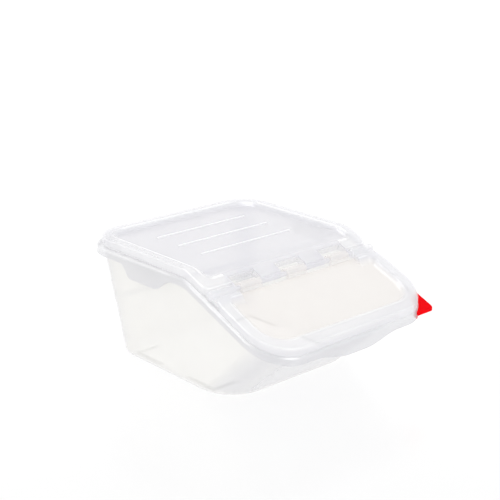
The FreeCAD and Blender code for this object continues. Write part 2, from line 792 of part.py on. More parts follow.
# Snap hooks that turn on the rod in the windows.
hook_bore = size.rod_radius + size.hinge_clearance
for name, steps in (("left_hook", -1), ("middle_hook", 0), ("right_hook", 1)):
    place = window_pitch * steps
    hook = new_body(name)
    ring_view = new_sketch(hook, f"{name}_ring", "YZ_Plane", height=place)
    ring = draw_circle(ring_view, axis_y, axis_z, hook_bore + size.hook_wall)
    pad(hook, ring, hook_width, symmetric=True)
    arm_view = new_sketch(hook, f"{name}_arm", "YZ_Plane", height=place)
    arm_low = -size.lid_height * cosine(size.slope_angle) + size.fit_clearance
    draw_outline(arm_view, [
        on_slope(size.hinge_place + hook_bore, -size.hinge_sink),
        on_slope(size.hinge_place + hook_bore, arm_low),
        on_slope(size.hinge_place + size.flap_gap + size.lid_wall, arm_low),
        on_slope(size.hinge_place + size.flap_gap + size.lid_wall, -size.panel_depth),
        on_slope(size.hinge_place + hook_bore + size.hook_wall, -size.hinge_sink),
    ])
    pad(hook, arm_view, hook_width, symmetric=True)
    bore_view = new_sketch(hook, f"{name}_bore", "YZ_Plane", height=place)
    pocket(hook, draw_circle(bore_view, axis_y, axis_z, hook_bore), hook_width, symmetric=True)
    mouth_view = new_sketch(hook, f"{name}_mouth", "YZ_Plane", height=place)
    mouth_low = -size.hinge_sink - size.ear_radius - size.overrun
    draw_outline(mouth_view, [
        on_slope(size.hinge_place - size.hook_mouth / 2, -size.hinge_sink),
        on_slope(size.hinge_place - size.hook_mouth / 2, mouth_low),
        on_slope(size.hinge_place + size.hook_mouth / 2, mouth_low),
        on_slope(size.hinge_place + size.hook_mouth / 2, -size.hinge_sink),
    ])
    pocket(hook, mouth_view, hook_width, symmetric=True)
    flap = fuse(f"flap_with_{name}", flap, hook)

# Colour clip: square plate outside the rounded rim corner, hooked under the skirt.
narrowing_share = size.rim_taper / size.rim_depth
corner_radius = size.rim_front_radius
corner_y = front + corner_radius
corner_x = rim_front_width / 2 + corner_radius * narrowing_share
corner_x = corner_x - corner_radius * root(narrowing_share * narrowing_share + 1)
clip_right = rim_front_width / 2 + size.clip_overhang
clip_fore = front + size.clip_front_inset
clip_top = size.lid_height + size.clip_drop
clip_bottom = skirt_drop + size.fit_clearance + size.clip_wall
outer_face = corner_radius + size.fit_clearance
inner_face = corner_radius - size.rim_thickness - size.fit_clearance


def clip_block(name):
    return block(name, [
        (clip_right, clip_fore + size.clip_size),
        (clip_right - size.clip_size, clip_fore + size.clip_size),
        (clip_right - size.clip_size, clip_fore),
        (clip_right, clip_fore, size.clip_radius),
    ], nothing, size.total_height)


def disc(name, radius):
    """Upright cylinder about the centre of the rim corner."""
    body = new_body(name)
    plan = new_sketch(body, f"{name}_plan", "XY_Plane")
    pad(body, draw_circle(plan, corner_x, corner_y, radius), size.total_height)
    return body


clip_form = clip_block("clip_form")
trim_above(clip_form, "clip_form_top", clip_top)
trim_below(clip_form, "clip_form_bottom", clip_bottom)
clip_inside = disc("clip_inside", inner_face - size.clip_wall)
clip_hollow = disc("clip_hollow", outer_face)
trim_below(clip_hollow, "clip_hollow_line", skirt_drop - size.clip_catch)
slot_outside = disc("slot_outside", outer_face)
trim_below(slot_outside, "slot_line", skirt_drop + size.fit_clearance)
slot = cut("slot", slot_outside, disc("slot_inside", inner_face))
under_plate = clip_block("under_plate")
trim_above(under_plate, "under_plate_line", clip_top + size.clip_thickness)
outside_leg = cut("outside_leg", under_plate, disc("leg_face", outer_face + size.clip_wall))
clip = cut("clip_without_inside", clip_form, clip_inside)
clip = cut("clip_with_rim_space", clip, clip_hollow)
clip = cut("clip_with_slot", clip, slot)
clip = cut("clip_with_leg", clip, outside_leg)

# Each piece is one solid of its own, checked and written.
PIECES = (("tub", tub), ("rear_lid", rear_lid), ("front_flap", flap), ("colour_clip", clip))
doc.recompute()
for item in doc.Objects:
    if "Invalid" in item.State or "Error" in item.State:
        raise RuntimeError(f"{item.Name} did not build")
os.makedirs("parts", exist_ok=True)
for label, piece in PIECES:
    piece.Label = label
    shape = piece.Shape
    if shape.isNull() or not shape.isValid() or len(shape.Solids) != 1:
        raise RuntimeError(f"{label} is not one sound solid")
    shape.exportStep(f"parts/{label}.step")
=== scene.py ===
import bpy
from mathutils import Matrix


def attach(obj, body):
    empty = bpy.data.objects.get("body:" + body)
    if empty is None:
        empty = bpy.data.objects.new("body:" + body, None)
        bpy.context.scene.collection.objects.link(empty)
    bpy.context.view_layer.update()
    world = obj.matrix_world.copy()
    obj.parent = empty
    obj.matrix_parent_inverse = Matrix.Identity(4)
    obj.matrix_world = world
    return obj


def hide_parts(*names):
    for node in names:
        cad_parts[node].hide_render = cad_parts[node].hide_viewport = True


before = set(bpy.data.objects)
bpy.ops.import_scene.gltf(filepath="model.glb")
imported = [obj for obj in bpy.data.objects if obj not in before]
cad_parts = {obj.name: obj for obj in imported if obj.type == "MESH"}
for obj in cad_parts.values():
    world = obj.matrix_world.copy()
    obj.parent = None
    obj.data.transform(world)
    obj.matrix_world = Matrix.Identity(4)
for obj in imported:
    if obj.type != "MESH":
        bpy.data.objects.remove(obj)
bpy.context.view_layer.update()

import math

import bpy
import numpy as np
from bpy.props import FloatProperty, FloatVectorProperty, PointerProperty
from bpy.types import Operator, Panel, PropertyGroup
from mathutils import Matrix, Vector

bl_info = {
    "name": "Ingredient bin",
    "version": (1, 0, 0),
    "blender": (4, 5, 0),
    "location": "3D View > Sidebar > Bin",
    "description": "Milky storage bin with a fixed rear lid, a hinged front flap and a colour clip",
    "category": "Mesh",
}

MM = 0.001
WHITE = (1.0, 1.0, 1.0, 1.0)
TOUCH = 1e-6
CLOSING_ROUNDS = 60
RIB_COUNT = 3
REAR_SPAN = 0
FRONT_SPAN = 4

# Shares of the form
MIDDLE_SHARE = 0.01
BASE_EDGE_SHARE = 0.95
PANEL_EDGE_SHARE = 0.985
STEP_SHARES = (0.42, 0.48)
MOUTH_SHARE = 0.4
LEDGE_SHARES = (0.2, 0.8)
PULL_LEAD_SHARE = 0.25
PULL_SPREAD_SHARE = 1.5
FRONT_SHARE = 0.4
NOSE_SHARE = 0.6
SQUARE_POWER_SHARE = 0.3
BORDER_SHARES = (0.0, 0.1, 0.2, 0.6, 1.0)
LIP_SHARES = (0.0, 0.0, 0.25, 0.75, 1.0, 1.0)
HOOK_TURN_SHARES = (-0.02, 0.62)
WEB_RISE_SHARE = 0.25

# Edge marks: 0 is plain wall, 1 a thick edge, and up to 2 a painted highlight, a white line painted along a
# crest
FLOOR_MARK = 0.1
FOOT_MARK = 0.35
LEDGE_MARK = 0.8
THICK_MARK = 1.0
CORNER_MARK = 0.9
HINGE_MARK = 0.1
FRAME_MARK = 0.5
ROD_MARK = 0.8
HOOK_MARK = 0.2
# Painted highlights: how strongly white lines are painted along the crests of rim, rear lid and flap, and
# where
RIM_PAINTED_HIGHLIGHT = 0.6
RIM_HIGHLIGHT_FADE = 0.7
REAR_LID_PAINTED_HIGHLIGHT = 1.0
FLAP_PAINTED_HIGHLIGHT = 0.3
ROUNDING_HIGHLIGHT_SHARE = 0.4
DISH_HIGHLIGHT_SHARE = 0.6
BORDER_HIGHLIGHT_SHARE = 0.2

# Grain of the finishes: a scale is in cells to a metre, a strength in shares
SOFT_DETAIL = 3.0
FINE_DETAIL = 2.0
CLOUD_SCALE = 7.0
CLOUD_TINT = 0.06
CLOUD_COVER = 0.04
FLOW_SCALE = 55.0
FLOW_ROUGHNESS = 0.05
GRAIN_SCALE = 900.0
GRAIN_ROUGHNESS = 0.02
GRAIN_HEIGHT_SHARE = 0.25
POLISH = 0.03
PLASTIC_BUMP = 0.02
PLASTIC_IOR = 1.49
SWIRL_SCALE = 45.0
SWIRL_ROUGHNESS = 0.1
SWIRL_DETAIL = 5.0
SWIRL_DISTORTION = 0.6
DYE_SHARES = (0.85, 1.15)
CLIP_GRAIN_SCALE = 1500.0
CLIP_GRAIN_ROUGHNESS = 0.05
CLIP_BUMP = 0.08
CLIP_SPECULAR = 0.02
PATCH_SCALE = 3.0
PATCH_ROUGHNESS = 0.05
BUMP_DISTANCE = 0.2 * MM

# Studio: the name, place and width of each soft light, in metres, and the power of each in watts
STUDIO_LIGHTS = (
    ("over", (-0.3, 0.5, 2.4), 1.6),
    ("left", (-2.2, 0.4, 1.3), 1.2),
    ("front", (0.5, -2.3, 1.5), 1.2),
)
LIGHT_POWER = 60
LIGHT_AIM = (0.0, 0.0, 0.12)
FLOOR_REACH = 6.0
VIEW_REACH = 100
CLEAR_LAYERS = 32


def length(name, description, millimetres):
    """Property that holds a length, given here in millimetres."""
    return FloatProperty(name=name, description=description, default=millimetres * MM, unit="LENGTH")


def angle(name, description, degrees):
    """Property that holds an angle, given here in degrees."""
    return FloatProperty(name=name, description=description, default=math.radians(degrees), unit="ROTATION")


def share(name, description, value):
    """Property that holds a share between nothing and all."""
    return FloatProperty(
        name=name, description=description, default=value, min=0.0, max=1.0, subtype="FACTOR"
    )


def amount(name, description, value):
    """Property that holds a plain number."""
    return FloatProperty(name=name, description=description, default=value)


def colour(name, description, red, green, blue):
    """Property that holds a linear colour."""
    return FloatVectorProperty(
        name=name, description=description, default=(red, green, blue), min=0.0, max=1.0, subtype="COLOR"
    )


class BinSizes(PropertyGroup):
    """Sizes of the bin's pieces."""

    total_height: length("Height", "Ground to the flat top of the lid", 228)
    bend_place: length("Bend", "Middle of the bend between flat and slope, along the depth", -41)
    bend_radius: length("Bend radius", "Radius of the bend in the top line", 65)
    slope: angle("Slope", "Fall of the front half of the top line", 23)
    rim_depth: length("Rim depth", "Rim from back to front", 505)
    rim_rear_width: length("Rim width, back", "Rim across its back corners", 402.5)
    rim_fore_width: length("Rim width, front", "Rim across its front corners", 383)
    rim_rear_radius: length("Rim corner, back", "Plan radius of the back corners", 74.5)
    rim_fore_radius: length("Rim corner, front", "Plan radius of the front corners", 70)
    rim_wall: length("Rim wall", "Thickness of the rim", 2.5)
    rim_skirt: length("Rim skirt", "Drop of the rim's skirt below the rim's top", 14.5)
    rim_round: length("Rim rounding", "Rounding along the rim's outer edge", 6.5)
    rim_inner_round: length("Rim hollow", "Rounding inside the rim's skirt", 4)
    rim_overhang: length("Rim overhang", "Rim beyond the back wall", 16)
    base_width: length("Base width", "Base across the sides", 316)
    base_length: length("Base length", "Base from back to front", 310)
    base_inset: length("Base inset", "Base in front of the rim's back", 42.5)
    base_rear_radius: length("Base corner, back", "Plan radius of the base's back corners", 38)
    base_fore_radius: length("Base corner, front", "Plan radius of the base's front corners", 70)
    base_round: length("Base rounding", "Rounding from base to wall", 12)
    mouth_width: length("Mouth width", "Walls across the sides at the rim", 368)
    mouth_rear_radius: length("Mouth corner, back", "Plan radius of the wall's back corners at the rim", 48)
    front_lean: angle("Front lean", "Lean of the front wall from upright", 48.4)
    wall: length("Wall", "Thickness of the tub's wall", 2.5)
    floor: length("Floor", "Thickness of the tub's floor", 3)
    step_height: length("Step height", "Stacking step of the back wall above the ground", 100)
    step_depth: length("Step depth", "Stacking step of the back wall", 2)
    step_run: length("Step run", "Height over which the stacking step fades", 4)
    grip_length: length("Side grip length", "Side grip along the rim", 140)
    grip_depth: length("Side grip depth", "Side grip below the rim's skirt", 23.5)
    grip_fore_run: length("Side grip run, front", "Sloped front end of the side grip", 50)
    grip_rear_run: length("Side grip run, back", "Sloped back end of the side grip", 26)
    grip_place: length("Side grip place", "Middle of the side grip in front of the rim's back", 192.5)
    pull_length: length("Front pull length", "Front pull along the rim", 170)
    pull_depth: length("Front pull depth", "Front pull below the rim's skirt", 13)
    pull_run: length("Front pull run", "Sloped ends of the front pull", 52)
    lid_width: length("Lid width", "Lids across their sides", 379)
    lid_inset: length("Lid inset, back", "Rear lid in front of the rim's back", 10.5)
    lid_front_inset: length("Lid inset, front", "Flap behind the rim's front", 2)
    lid_rear_radius: length("Lid corner, back", "Plan radius of the rear lid's back corners", 64)
    lid_fore_radius: length("Lid corner, front", "Plan radius of the flap's front corners", 66)
    lid_meet_radius: length("Lid corner, hinge", "Plan room of the lids' squared corners at the hinge", 36)
    lid_height: length("Lid height", "Lids above the rim", 14.5)
    lid_wall: length("Lid wall", "Thickness of the lids", 2.5)
    lid_round: length("Lid rounding", "Rounding along the lids' outer edge", 3)
    border: length("Border", "Raised border of the lids", 19.5)
    dish_run: length("Dish run", "Sloped side of the sunken panels", 12)
    panel_depth: length("Panel depth", "Sunken panels below the border", 8)
    ramp_depth: length("Ramp depth", "Sunken panel below the border at the hinge", 4.35)
    hinge_ahead: length("Hinge place", "Hinge along the slope from the bend", 66)
    hinge_sink: length("Hinge sink", "Hinge line below the border", 5)
    hinge_length: length("Hinge length", "Hinge rod between the ears", 270)
    rod_radius: length("Rod radius", "Radius of the hinge rod", 4.5)
    ear_radius: length("Ear radius", "Radius of the flap's ears", 8)
    ear_gap: length("Ear gap", "Gap beside the ears", 0.8)
    web: length("Web", "Thickness of the webs that carry the ears", 4)
    stub_radius: length("Stub radius", "Radius of the rod's end pins", 3)
    stub_length: length("Stub length", "Length of the rod's end pins", 10)
    hook_wall: length("Hook wall", "Thickness of the flap's hooks", 2.6)
    hook_width: length("Hook width", "Flap hooks along the rod", 44)
    window_width: length("Window width", "Hinge windows along the rod", 58)
    window_length: length("Window length", "Hinge windows along the slope", 23)
    window_pitch: length("Window pitch", "Hinge windows from one to the next", 103)
    hook_tail: length("Hook tail", "Hooks behind the hinge line", 12)
    flap_gap: length("Flap gap", "Flap edge in front of the hinge line", 7.5)
    lug_drop: length("Shoulder drop", "Flap border below the flap's edge at the ears", 6)
    rib_length: length("Rib length", "Ribs of the rear panel across the lid", 210)
    rib_width: length("Rib width", "Ribs of the rear panel along the lid", 5)
    rib_height: length("Rib height", "Ribs above the rear panel", 2.5)
    rib_pitch: length("Rib pitch", "Ribs from one to the next", 62.25)
    rib_place: length("Rib place", "First rib in front of the rim's back", 104.5)
    channel_depth: length("Channel depth", "Top of the stacking channels above the ground", 1.2)
    channel_width: length("Channel width", "Stacking channels across", 7)
    channel_side: length("Channel side leg", "Leg of a stacking channel along the base", 76)
    channel_cross: length("Channel cross leg", "Leg of a stacking channel across the base", 51)
    channel_side_inset: length("Channel inset, side", "Stacking channels inside the base's sides", 16)
    channel_rear_inset: length("Channel inset, back", "Stacking channels inside the base's back", 35)
    channel_fore_inset: length("Channel inset, front", "Stacking channels inside the base's front", 50)
    lip_depth: length("Lip depth", "Locating lip below the rim's top", 10)
    lip_wall: length("Lip wall", "Thickness of the locating lip", 2)
    lip_clearance: length("Lip clearance", "Locating lip inside the mouth", 2.5)
    lip_end: length("Lip end", "Front ends of the locating lip behind the bend", 12)
    lip_ease: length("Lip easing", "Easing along the lower edge of the locating lip", 0.5)
    ramp_blend: length("Ramp blend", "Easing between the level rear panel and its ramp", 3)
    ear_round: length("Ear rounding", "Rounding of the ears' ends", 2.5)
    web_inset: length("Web inset", "Webs inside the ends of the ears", 1)
    rod_ease: length("Rod easing", "Easing of the ends of the rod and its pins", 0.6)
    hook_ease: length("Hook easing", "Easing of the ends of hooks and webs", 0.4)
    hook_gap: length("Hook gap", "Room between the rod and the hooks", 0.1)
    arm_lap: length("Arm lap", "Hook arms above the flap's panel", 0.2)
    frame_ease: length("Frame easing", "Easing of the ends of the window frames", 0.3)
    rim_gap: length("Rim gap", "Hooks and window frames above the rim", 0.3)
    rib_sink: length("Rib sink", "Ribs below the face of the rear panel", 0.3)
    channel_skin: length("Channel skin", "Plastic shown below the stacking channels", 0.3)


class BinLooks(PropertyGroup):
    """Colours and finish of the bin's pieces."""

    tub_colour: colour("Tub", "Colour of the tub's plastic", 0.82, 0.81, 0.785)
    lid_colour: colour("Rear lid", "Colour of the rear lid's plastic", 0.7, 0.695, 0.745)
    flap_colour: colour("Flap", "Colour of the flap's plastic", 0.83, 0.795, 0.77)
    edge_colour: colour("Lid edges", "Colour of the plastic along the lids' thick edges", 0.79, 0.79, 0.82)
    rim_colour: colour("Tub edges", "Colour of the plastic along the tub's thick edges", 0.62, 0.62, 0.65)
    # Painted shade: dark colour that stands in for the shade inside the stacking channels' grooves
    channel_shade_colour: colour("Channels", "Colour of the plastic in the stacking channels", 0.4, 0.42, 0.41)
    # Painted highlight: the white that is painted along crests where a studio light would glint
    painted_highlight_colour: colour("Crests", "Colour of the plastic along whitened crests", 0.97, 0.97, 0.98)
    cloud_colour: colour("Clouds", "Colour of the soft clouds in the plastic", 1.0, 0.98, 0.95)
    clip_colour: colour("Clip", "Colour of the clip's plastic", 0.93, 0.0003, 0.004)
    floor_colour: colour("Table", "Colour of the table's gloss coat", 0.1, 0.1, 0.1)
    patch_colour: colour("Table patches", "Colour of soft patches in the table's coat", 0.12, 0.12, 0.12)
    tub_cover: share("Tub cover", "Share of light that one face of the tub's wall holds back", 0.4)
    lid_cover: share("Rear lid cover", "Share of light that one face of the rear lid holds back", 0.45)
    flap_cover: share("Flap cover", "Share of light that one face of the flap holds back", 0.42)
    lip_cover: share("Lip cover", "Share of light that one face of the locating lip holds back", 0.12)
    edge_cover: share("Lid edge cover", "Share of light that one face of a lid's thick edge holds back", 0.36)
    rim_cover: share("Tub edge cover", "Share of light that one face of the tub's edge holds back", 0.46)
    # Painted shade: the channels are nearly opaque so that their dark painted shade shows
    channel_cover: share("Channel cover", "Share of light that one face of a channel holds back", 0.75)
    # Painted highlight: extra opacity that makes the painted white lines along crests show
    painted_highlight_cover: share("Crest cover", "Share of light that a full crest holds back on top of its edge", 0.35)
    gloss: share("Roughness", "Roughness of the moulded plastic", 0.18)
    clip_gloss: share("Clip roughness", "Least roughness of the clip's plastic", 0.4)
    floor_gloss: share("Table roughness", "Least roughness of the table's coat", 0.2)
    plastic_glow: share("Plastic glow", "Light that scatters out of the milky plastic", 0.12)
    floor_glow: share("Floor glow", "Light that the white table gives out", 0.8)
    camera_place: FloatVectorProperty(
        name="Camera", description="Place of the camera",
        default=(-1.28879, -1.45015, 0.84225), subtype="TRANSLATION",
    )
    camera_aim: FloatVectorProperty(
        name="Camera back", description="Direction from the scene to the camera",
        default=(-0.62809, -0.71393, 0.30951), subtype="DIRECTION",
    )
    camera_up: FloatVectorProperty(
        name="Camera up", description="Upward direction of the picture",
        default=(0.21007, 0.22742, 0.95087), subtype="DIRECTION",
    )
    camera_lens: amount("Lens", "Focal length of the camera on a 36 mm sensor", 83.32)
    sky: amount("Sky", "Brightness of the white room", 1.03)


# Plan outlines and grids


def smooth(part):
    """Three times part squared less twice part cubed, with part held between 0 and 1."""
    held = np.clip(part, 0.0, 1.0)
    return held * held * (3.0 - 2.0 * held)


def turns(count, first=0.0, last=0.25):
    """Column of angles from a first to a last share of a full turn."""
    return np.linspace(first, last, count)[:, None] * math.tau


def shares(count, first=0.0, last=1.0):
    """Column of even shares from a first to a last one."""
    return np.linspace(first, last, count)[:, None]


def steps(count):
    """Even shares from nothing up to the last step before all."""
    return np.linspace(0.0, 1.0, count, endpoint=False)


def backwards(parts):
    """The same steps counted from the other end: one less each share, in rising order from nothing."""
    return 1.0 - np.append(parts, 1.0)[:0:-1]


class Outline:
    """Closed plan outline with four rounded corners, counter-clockwise from the rear right corner.

    A point of a side is (1 - t) A + t B between the ends of two corner arcs. A point of a corner is the
    arc's centre plus its radius times the turned direction, whose cosine and sine are raised to a power, so
    that a power under one squares the corner. Every outline of one kind has the same columns. A column's
    ahead is the square of how far it faces the front, and its corner is 1 in the middle of a corner and 0
    along a side.
    """

    def __init__(self, rear, side, fore, arc):
        # Corner at either end, shares between them, and the direction at either end in turns
        spans = (
            (0, 1, rear, 0.25, 0.25),
            (1, 1, arc, 0.25, 0.5),
            (1, 2, side, 0.5, 0.5),
            (2, 2, arc, 0.5, 0.75),
            (2, 3, fore, 0.75, 0.75),
            (3, 3, arc, 0.75, 1.0),
            (3, 0, backwards(side), 1.0, 1.0),
            (0, 0, arc, 1.0, 1.25),
        )
        counts = [len(span[2]) for span in spans]
        self.first, self.last = np.repeat([span[:2] for span in spans], counts, axis=0).T
        self.span = np.repeat(np.arange(len(spans)), counts)
        self.part = np.concatenate([span[2] for span in spans])
        turn = np.concatenate([start + (end - start) * part for _, _, part, start, end in spans]) * math.tau
        self.cosine = np.round(np.cos(turn), 12)
        self.sine = np.round(np.sin(turn), 12)
        self.ahead = np.clip(-self.sine, 0.0, 1.0) ** 2
        self.corner = (2.0 * self.cosine * self.sine) ** 2

    def at(self, half_rear, half_fore, rear, fore, round_rear, round_fore, square_rear=1.0, square_fore=1.0):
        """Points of the outline with these half widths, ends, corner radii and corner powers."""
        inner_rear, inner_fore = half_rear - round_rear, half_fore - round_fore
        middle_x = (inner_rear, -inner_rear, -inner_fore, inner_fore)
        middle_y = (rear - round_rear, rear - round_rear, fore + round_fore, fore + round_fore)
        radius = (round_rear, round_rear, round_fore, round_fore)
        power = (square_rear, square_rear, square_fore, square_fore)

        def pick(index, values):
            return np.choose(index, np.broadcast_arrays(index, *values)[1:])

        def end(index):
            squared = pick(index, power)
            across = np.sign(self.cosine) * np.abs(self.cosine) ** squared
            along = np.sign(self.sine) * np.abs(self.sine) ** squared
            reach = pick(index, radius)
            return pick(index, middle_x) + reach * across, pick(index, middle_y) + reach * along

        start_x, start_y = end(self.first)
        end_x, end_y = end(self.last)
        return start_x + (end_x - start_x) * self.part, start_y + (end_y - start_y) * self.part


def rows(x, y, z):
    """Stack of grid rows from three arrays that may be spread to the same size."""
    return np.stack(np.broadcast_arrays(x, y, z), axis=-1)


def towards(grid_row, centre, parts, height):
    """Rows from a centre out to a row: the centre plus a part of the way, at a height over the plan."""
    x = centre[0] + parts * (grid_row[..., 0] - centre[0])
    y = centre[1] + parts * (grid_row[..., 1] - centre[1])
    return rows(x, y, height(y))


def stacked(*parts, **cuts):
    """Shell of groups of rows one after another, each with the edge mark of its rows."""
    marks = np.concatenate([np.broadcast_to(mark, group.shape[:2]) for group, mark in parts])
    return Shell(np.concatenate([group for group, mark in parts]), marks, **cuts)


def grid_faces(count, columns):
    """Corner numbers of the faces between neighbouring rows and columns, the last column beside the first."""
    row = np.arange(count - 1)[:, None] * columns
    column = np.arange(columns)[None, :]
    ahead = (column + 1) % columns
    return np.stack((row + column, row + ahead, row + columns + ahead, row + columns + column), axis=-1)


class Shell:
    """Grid of points with its faces, closed round its columns and capped at its first and last row.

    The edge mark of a point runs from 0, plain wall, through 1, a thick edge, to 2, a painted highlight along
    a crest. Keep tells which faces of the grid stay, and extra holds more faces by their corner numbers.
    Where the volume summed over the faces comes out negative, all of them are turned round, so that they
    point outwards.
    """

    def __init__(self, points, edge=0.0, keep=None, extra=()):
        count, columns = points.shape[:2]
        self.points = points
        self.edge = np.broadcast_to(edge, (count, columns))
        faces = grid_faces(count, columns)
        quads = faces.reshape(-1, 4) if keep is None else faces[keep]
        flat = points.reshape(-1, 3)
        corners = flat[quads]
        spread = np.cross(corners[:, 1] - corners[:, 0], corners[:, 2] - corners[:, 0])
        spread += np.cross(corners[:, 2] - corners[:, 0], corners[:, 3] - corners[:, 0])
        volume = (spread * (corners.mean(axis=1) - flat.mean(axis=0))).sum()
        self.quads = quads if volume > 0 else quads[:, ::-1]
        column = np.arange(columns)
        caps = [column[::-1], column + len(flat) - columns, *extra]
        self.caps = [cap if volume > 0 else cap[::-1] for cap in caps]


def add_piece(name, shells, material, body, node, crease=40):
    """Makes one object of shells, in place, that stands for a CAD node and rides on a body.

    Edges sharper than the crease, in degrees, stay sharp.
    """
    points = np.concatenate([shell.points.reshape(-1, 3) for shell in shells])
    marks = np.concatenate([shell.edge.ravel() for shell in shells])
    first = np.cumsum([0] + [shell.points.size // 3 for shell in shells])
    loops = [shell.quads.ravel() + start for shell, start in zip(shells, first)]
    counts = [np.full(len(shell.quads), 4) for shell in shells]
    for shell, start in zip(shells, first):
        loops += [cap + start for cap in shell.caps]
        counts += [np.array([len(cap)]) for cap in shell.caps]
    loops = np.concatenate(loops).astype(np.int32)
    counts = np.concatenate(counts).astype(np.int32)
    mesh = bpy.data.meshes.new(name)
    mesh.vertices.add(len(points))
    mesh.vertices.foreach_set("co", points.astype(np.float32).ravel())
    mesh.loops.add(len(loops))
    mesh.loops.foreach_set("vertex_index", loops)
    mesh.polygons.add(len(counts))
    mesh.polygons.foreach_set("loop_start", np.concatenate(([0], np.cumsum(counts)[:-1])).astype(np.int32))
    mesh.update(calc_edges=True)
    edge = mesh.attributes.new("edge", "FLOAT", "POINT")
    edge.data.foreach_set("value", marks.astype(np.float32))
    if mesh.validate():
        raise RuntimeError(f"{name} has a bad mesh")
    mesh.shade_smooth()
    mesh.set_sharp_from_angle(angle=math.radians(crease))
    mesh.materials.append(material)
    piece = bpy.data.objects.new(name, mesh)
    bpy.context.scene.collection.objects.link(piece)
    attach(piece, body)
    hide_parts(node)
    return piece


# Form of the bin


def top_line(size, y):
    """Height of the lids' border: level, then an arc of the bend radius, then an even fall at the slope."""
    tangent = size.bend_radius * math.tan(size.slope / 2)
    arc_length = size.bend_radius * math.sin(size.slope)
    ahead = size.bend_place + tangent - y
    arc = np.clip(ahead, 0.0, arc_length)
    fallen = size.bend_radius - np.sqrt(size.bend_radius**2 - arc**2)
    return size.total_height - fallen - np.maximum(ahead - arc_length, 0.0) * math.tan(size.slope)


def rim_ring(size, plan, inset):
    """Rim outline moved in by an inset; its sides draw in evenly towards the front."""
    taper = (size.rim_rear_width - size.rim_fore_width) / 2 / size.rim_depth
    return plan.at(
        size.rim_rear_width / 2 - taper * size.rim_rear_radius - inset,
        size.rim_fore_width / 2 + taper * size.rim_fore_radius - inset,
        size.rim_depth / 2 - inset,
        inset - size.rim_depth / 2,
        size.rim_rear_radius - inset,
        size.rim_fore_radius - inset,
    )


def wall_ring(size, plan, height, inset):
    """Wall outline at a height: the base's, plus an even draft at sides and back and the lean in front."""
    rise = height / (size.total_height - size.lid_height)
    half = (size.base_width + (size.mouth_width - size.base_width) * rise) / 2 - inset
    back = size.rim_depth / 2 - size.base_inset
    step = size.step_depth * (1.0 - smooth((height - size.step_height) / size.step_run))
    rear = back + (size.base_inset - size.rim_overhang) * rise - step - inset
    fore = back - size.base_length - height * math.tan(size.front_lean) + inset / math.cos(size.front_lean)
    rear_radius = size.base_rear_radius + (size.mouth_rear_radius - size.base_rear_radius) * rise - inset
    return plan.at(half, half, rear, fore, rear_radius, size.base_fore_radius - inset)


def wall_lean(size, plan):
    """Lean of the wall from upright for each column: the sides' draft, turning into the front's lean."""
    draft = math.atan((size.mouth_width - size.base_width) / 2 / (size.total_height - size.lid_height))
    return draft + (size.front_lean - draft) * plan.ahead


def foot_ring(size, plan, turn, radius, level, inset):
    """Rounding from a floor to the wall: a circle that touches both, whatever the wall's lean."""
    lean = wall_lean(size, plan)
    swing = turn * (math.pi / 2 - lean)
    back = radius * np.tan((math.pi / 2 - lean) / 2)
    drawn = inset + back - radius * np.sin(swing)
    x, y = wall_ring(size, plan, np.full(drawn.shape, level), drawn)
    return rows(x, y, level + radius * (1.0 - np.cos(swing)))


def wall_top(size, plan, inset, drop):
    """Height at which the wall meets a line below the top line, by repeated closing in."""
    height = np.full((1, plan.part.size), size.total_height - drop)
    for _ in range(CLOSING_ROUNDS):
        met = top_line(size, wall_ring(size, plan, height, inset)[1]) - drop
        height = (height + met) / 2
    return height


def skirt_bottom(size, plan):
    """Drop of the rim's skirt below the top line: the plain skirt, deeper at side grips and front pull.

    A grip eases in over its own run at either end. The pull eases in from a little outside its length.
    """
    x, y = rim_ring(size, plan, np.zeros((1, 1)))
    along = y - (size.rim_depth / 2 - size.grip_place)
    rear_end = smooth((size.grip_length / 2 - along) / size.grip_rear_run)
    fore_end = smooth((size.grip_length / 2 + along) / size.grip_fore_run)
    run = (size.pull_length / 2 - np.abs(x)) / size.pull_run
    before = smooth((run + PULL_LEAD_SHARE) / PULL_SPREAD_SHARE) * (y < -FRONT_SHARE * size.rim_depth)
    deeper = size.grip_depth * rear_end * fore_end + size.pull_depth * before
    return size.lid_height + size.rim_skirt + deeper


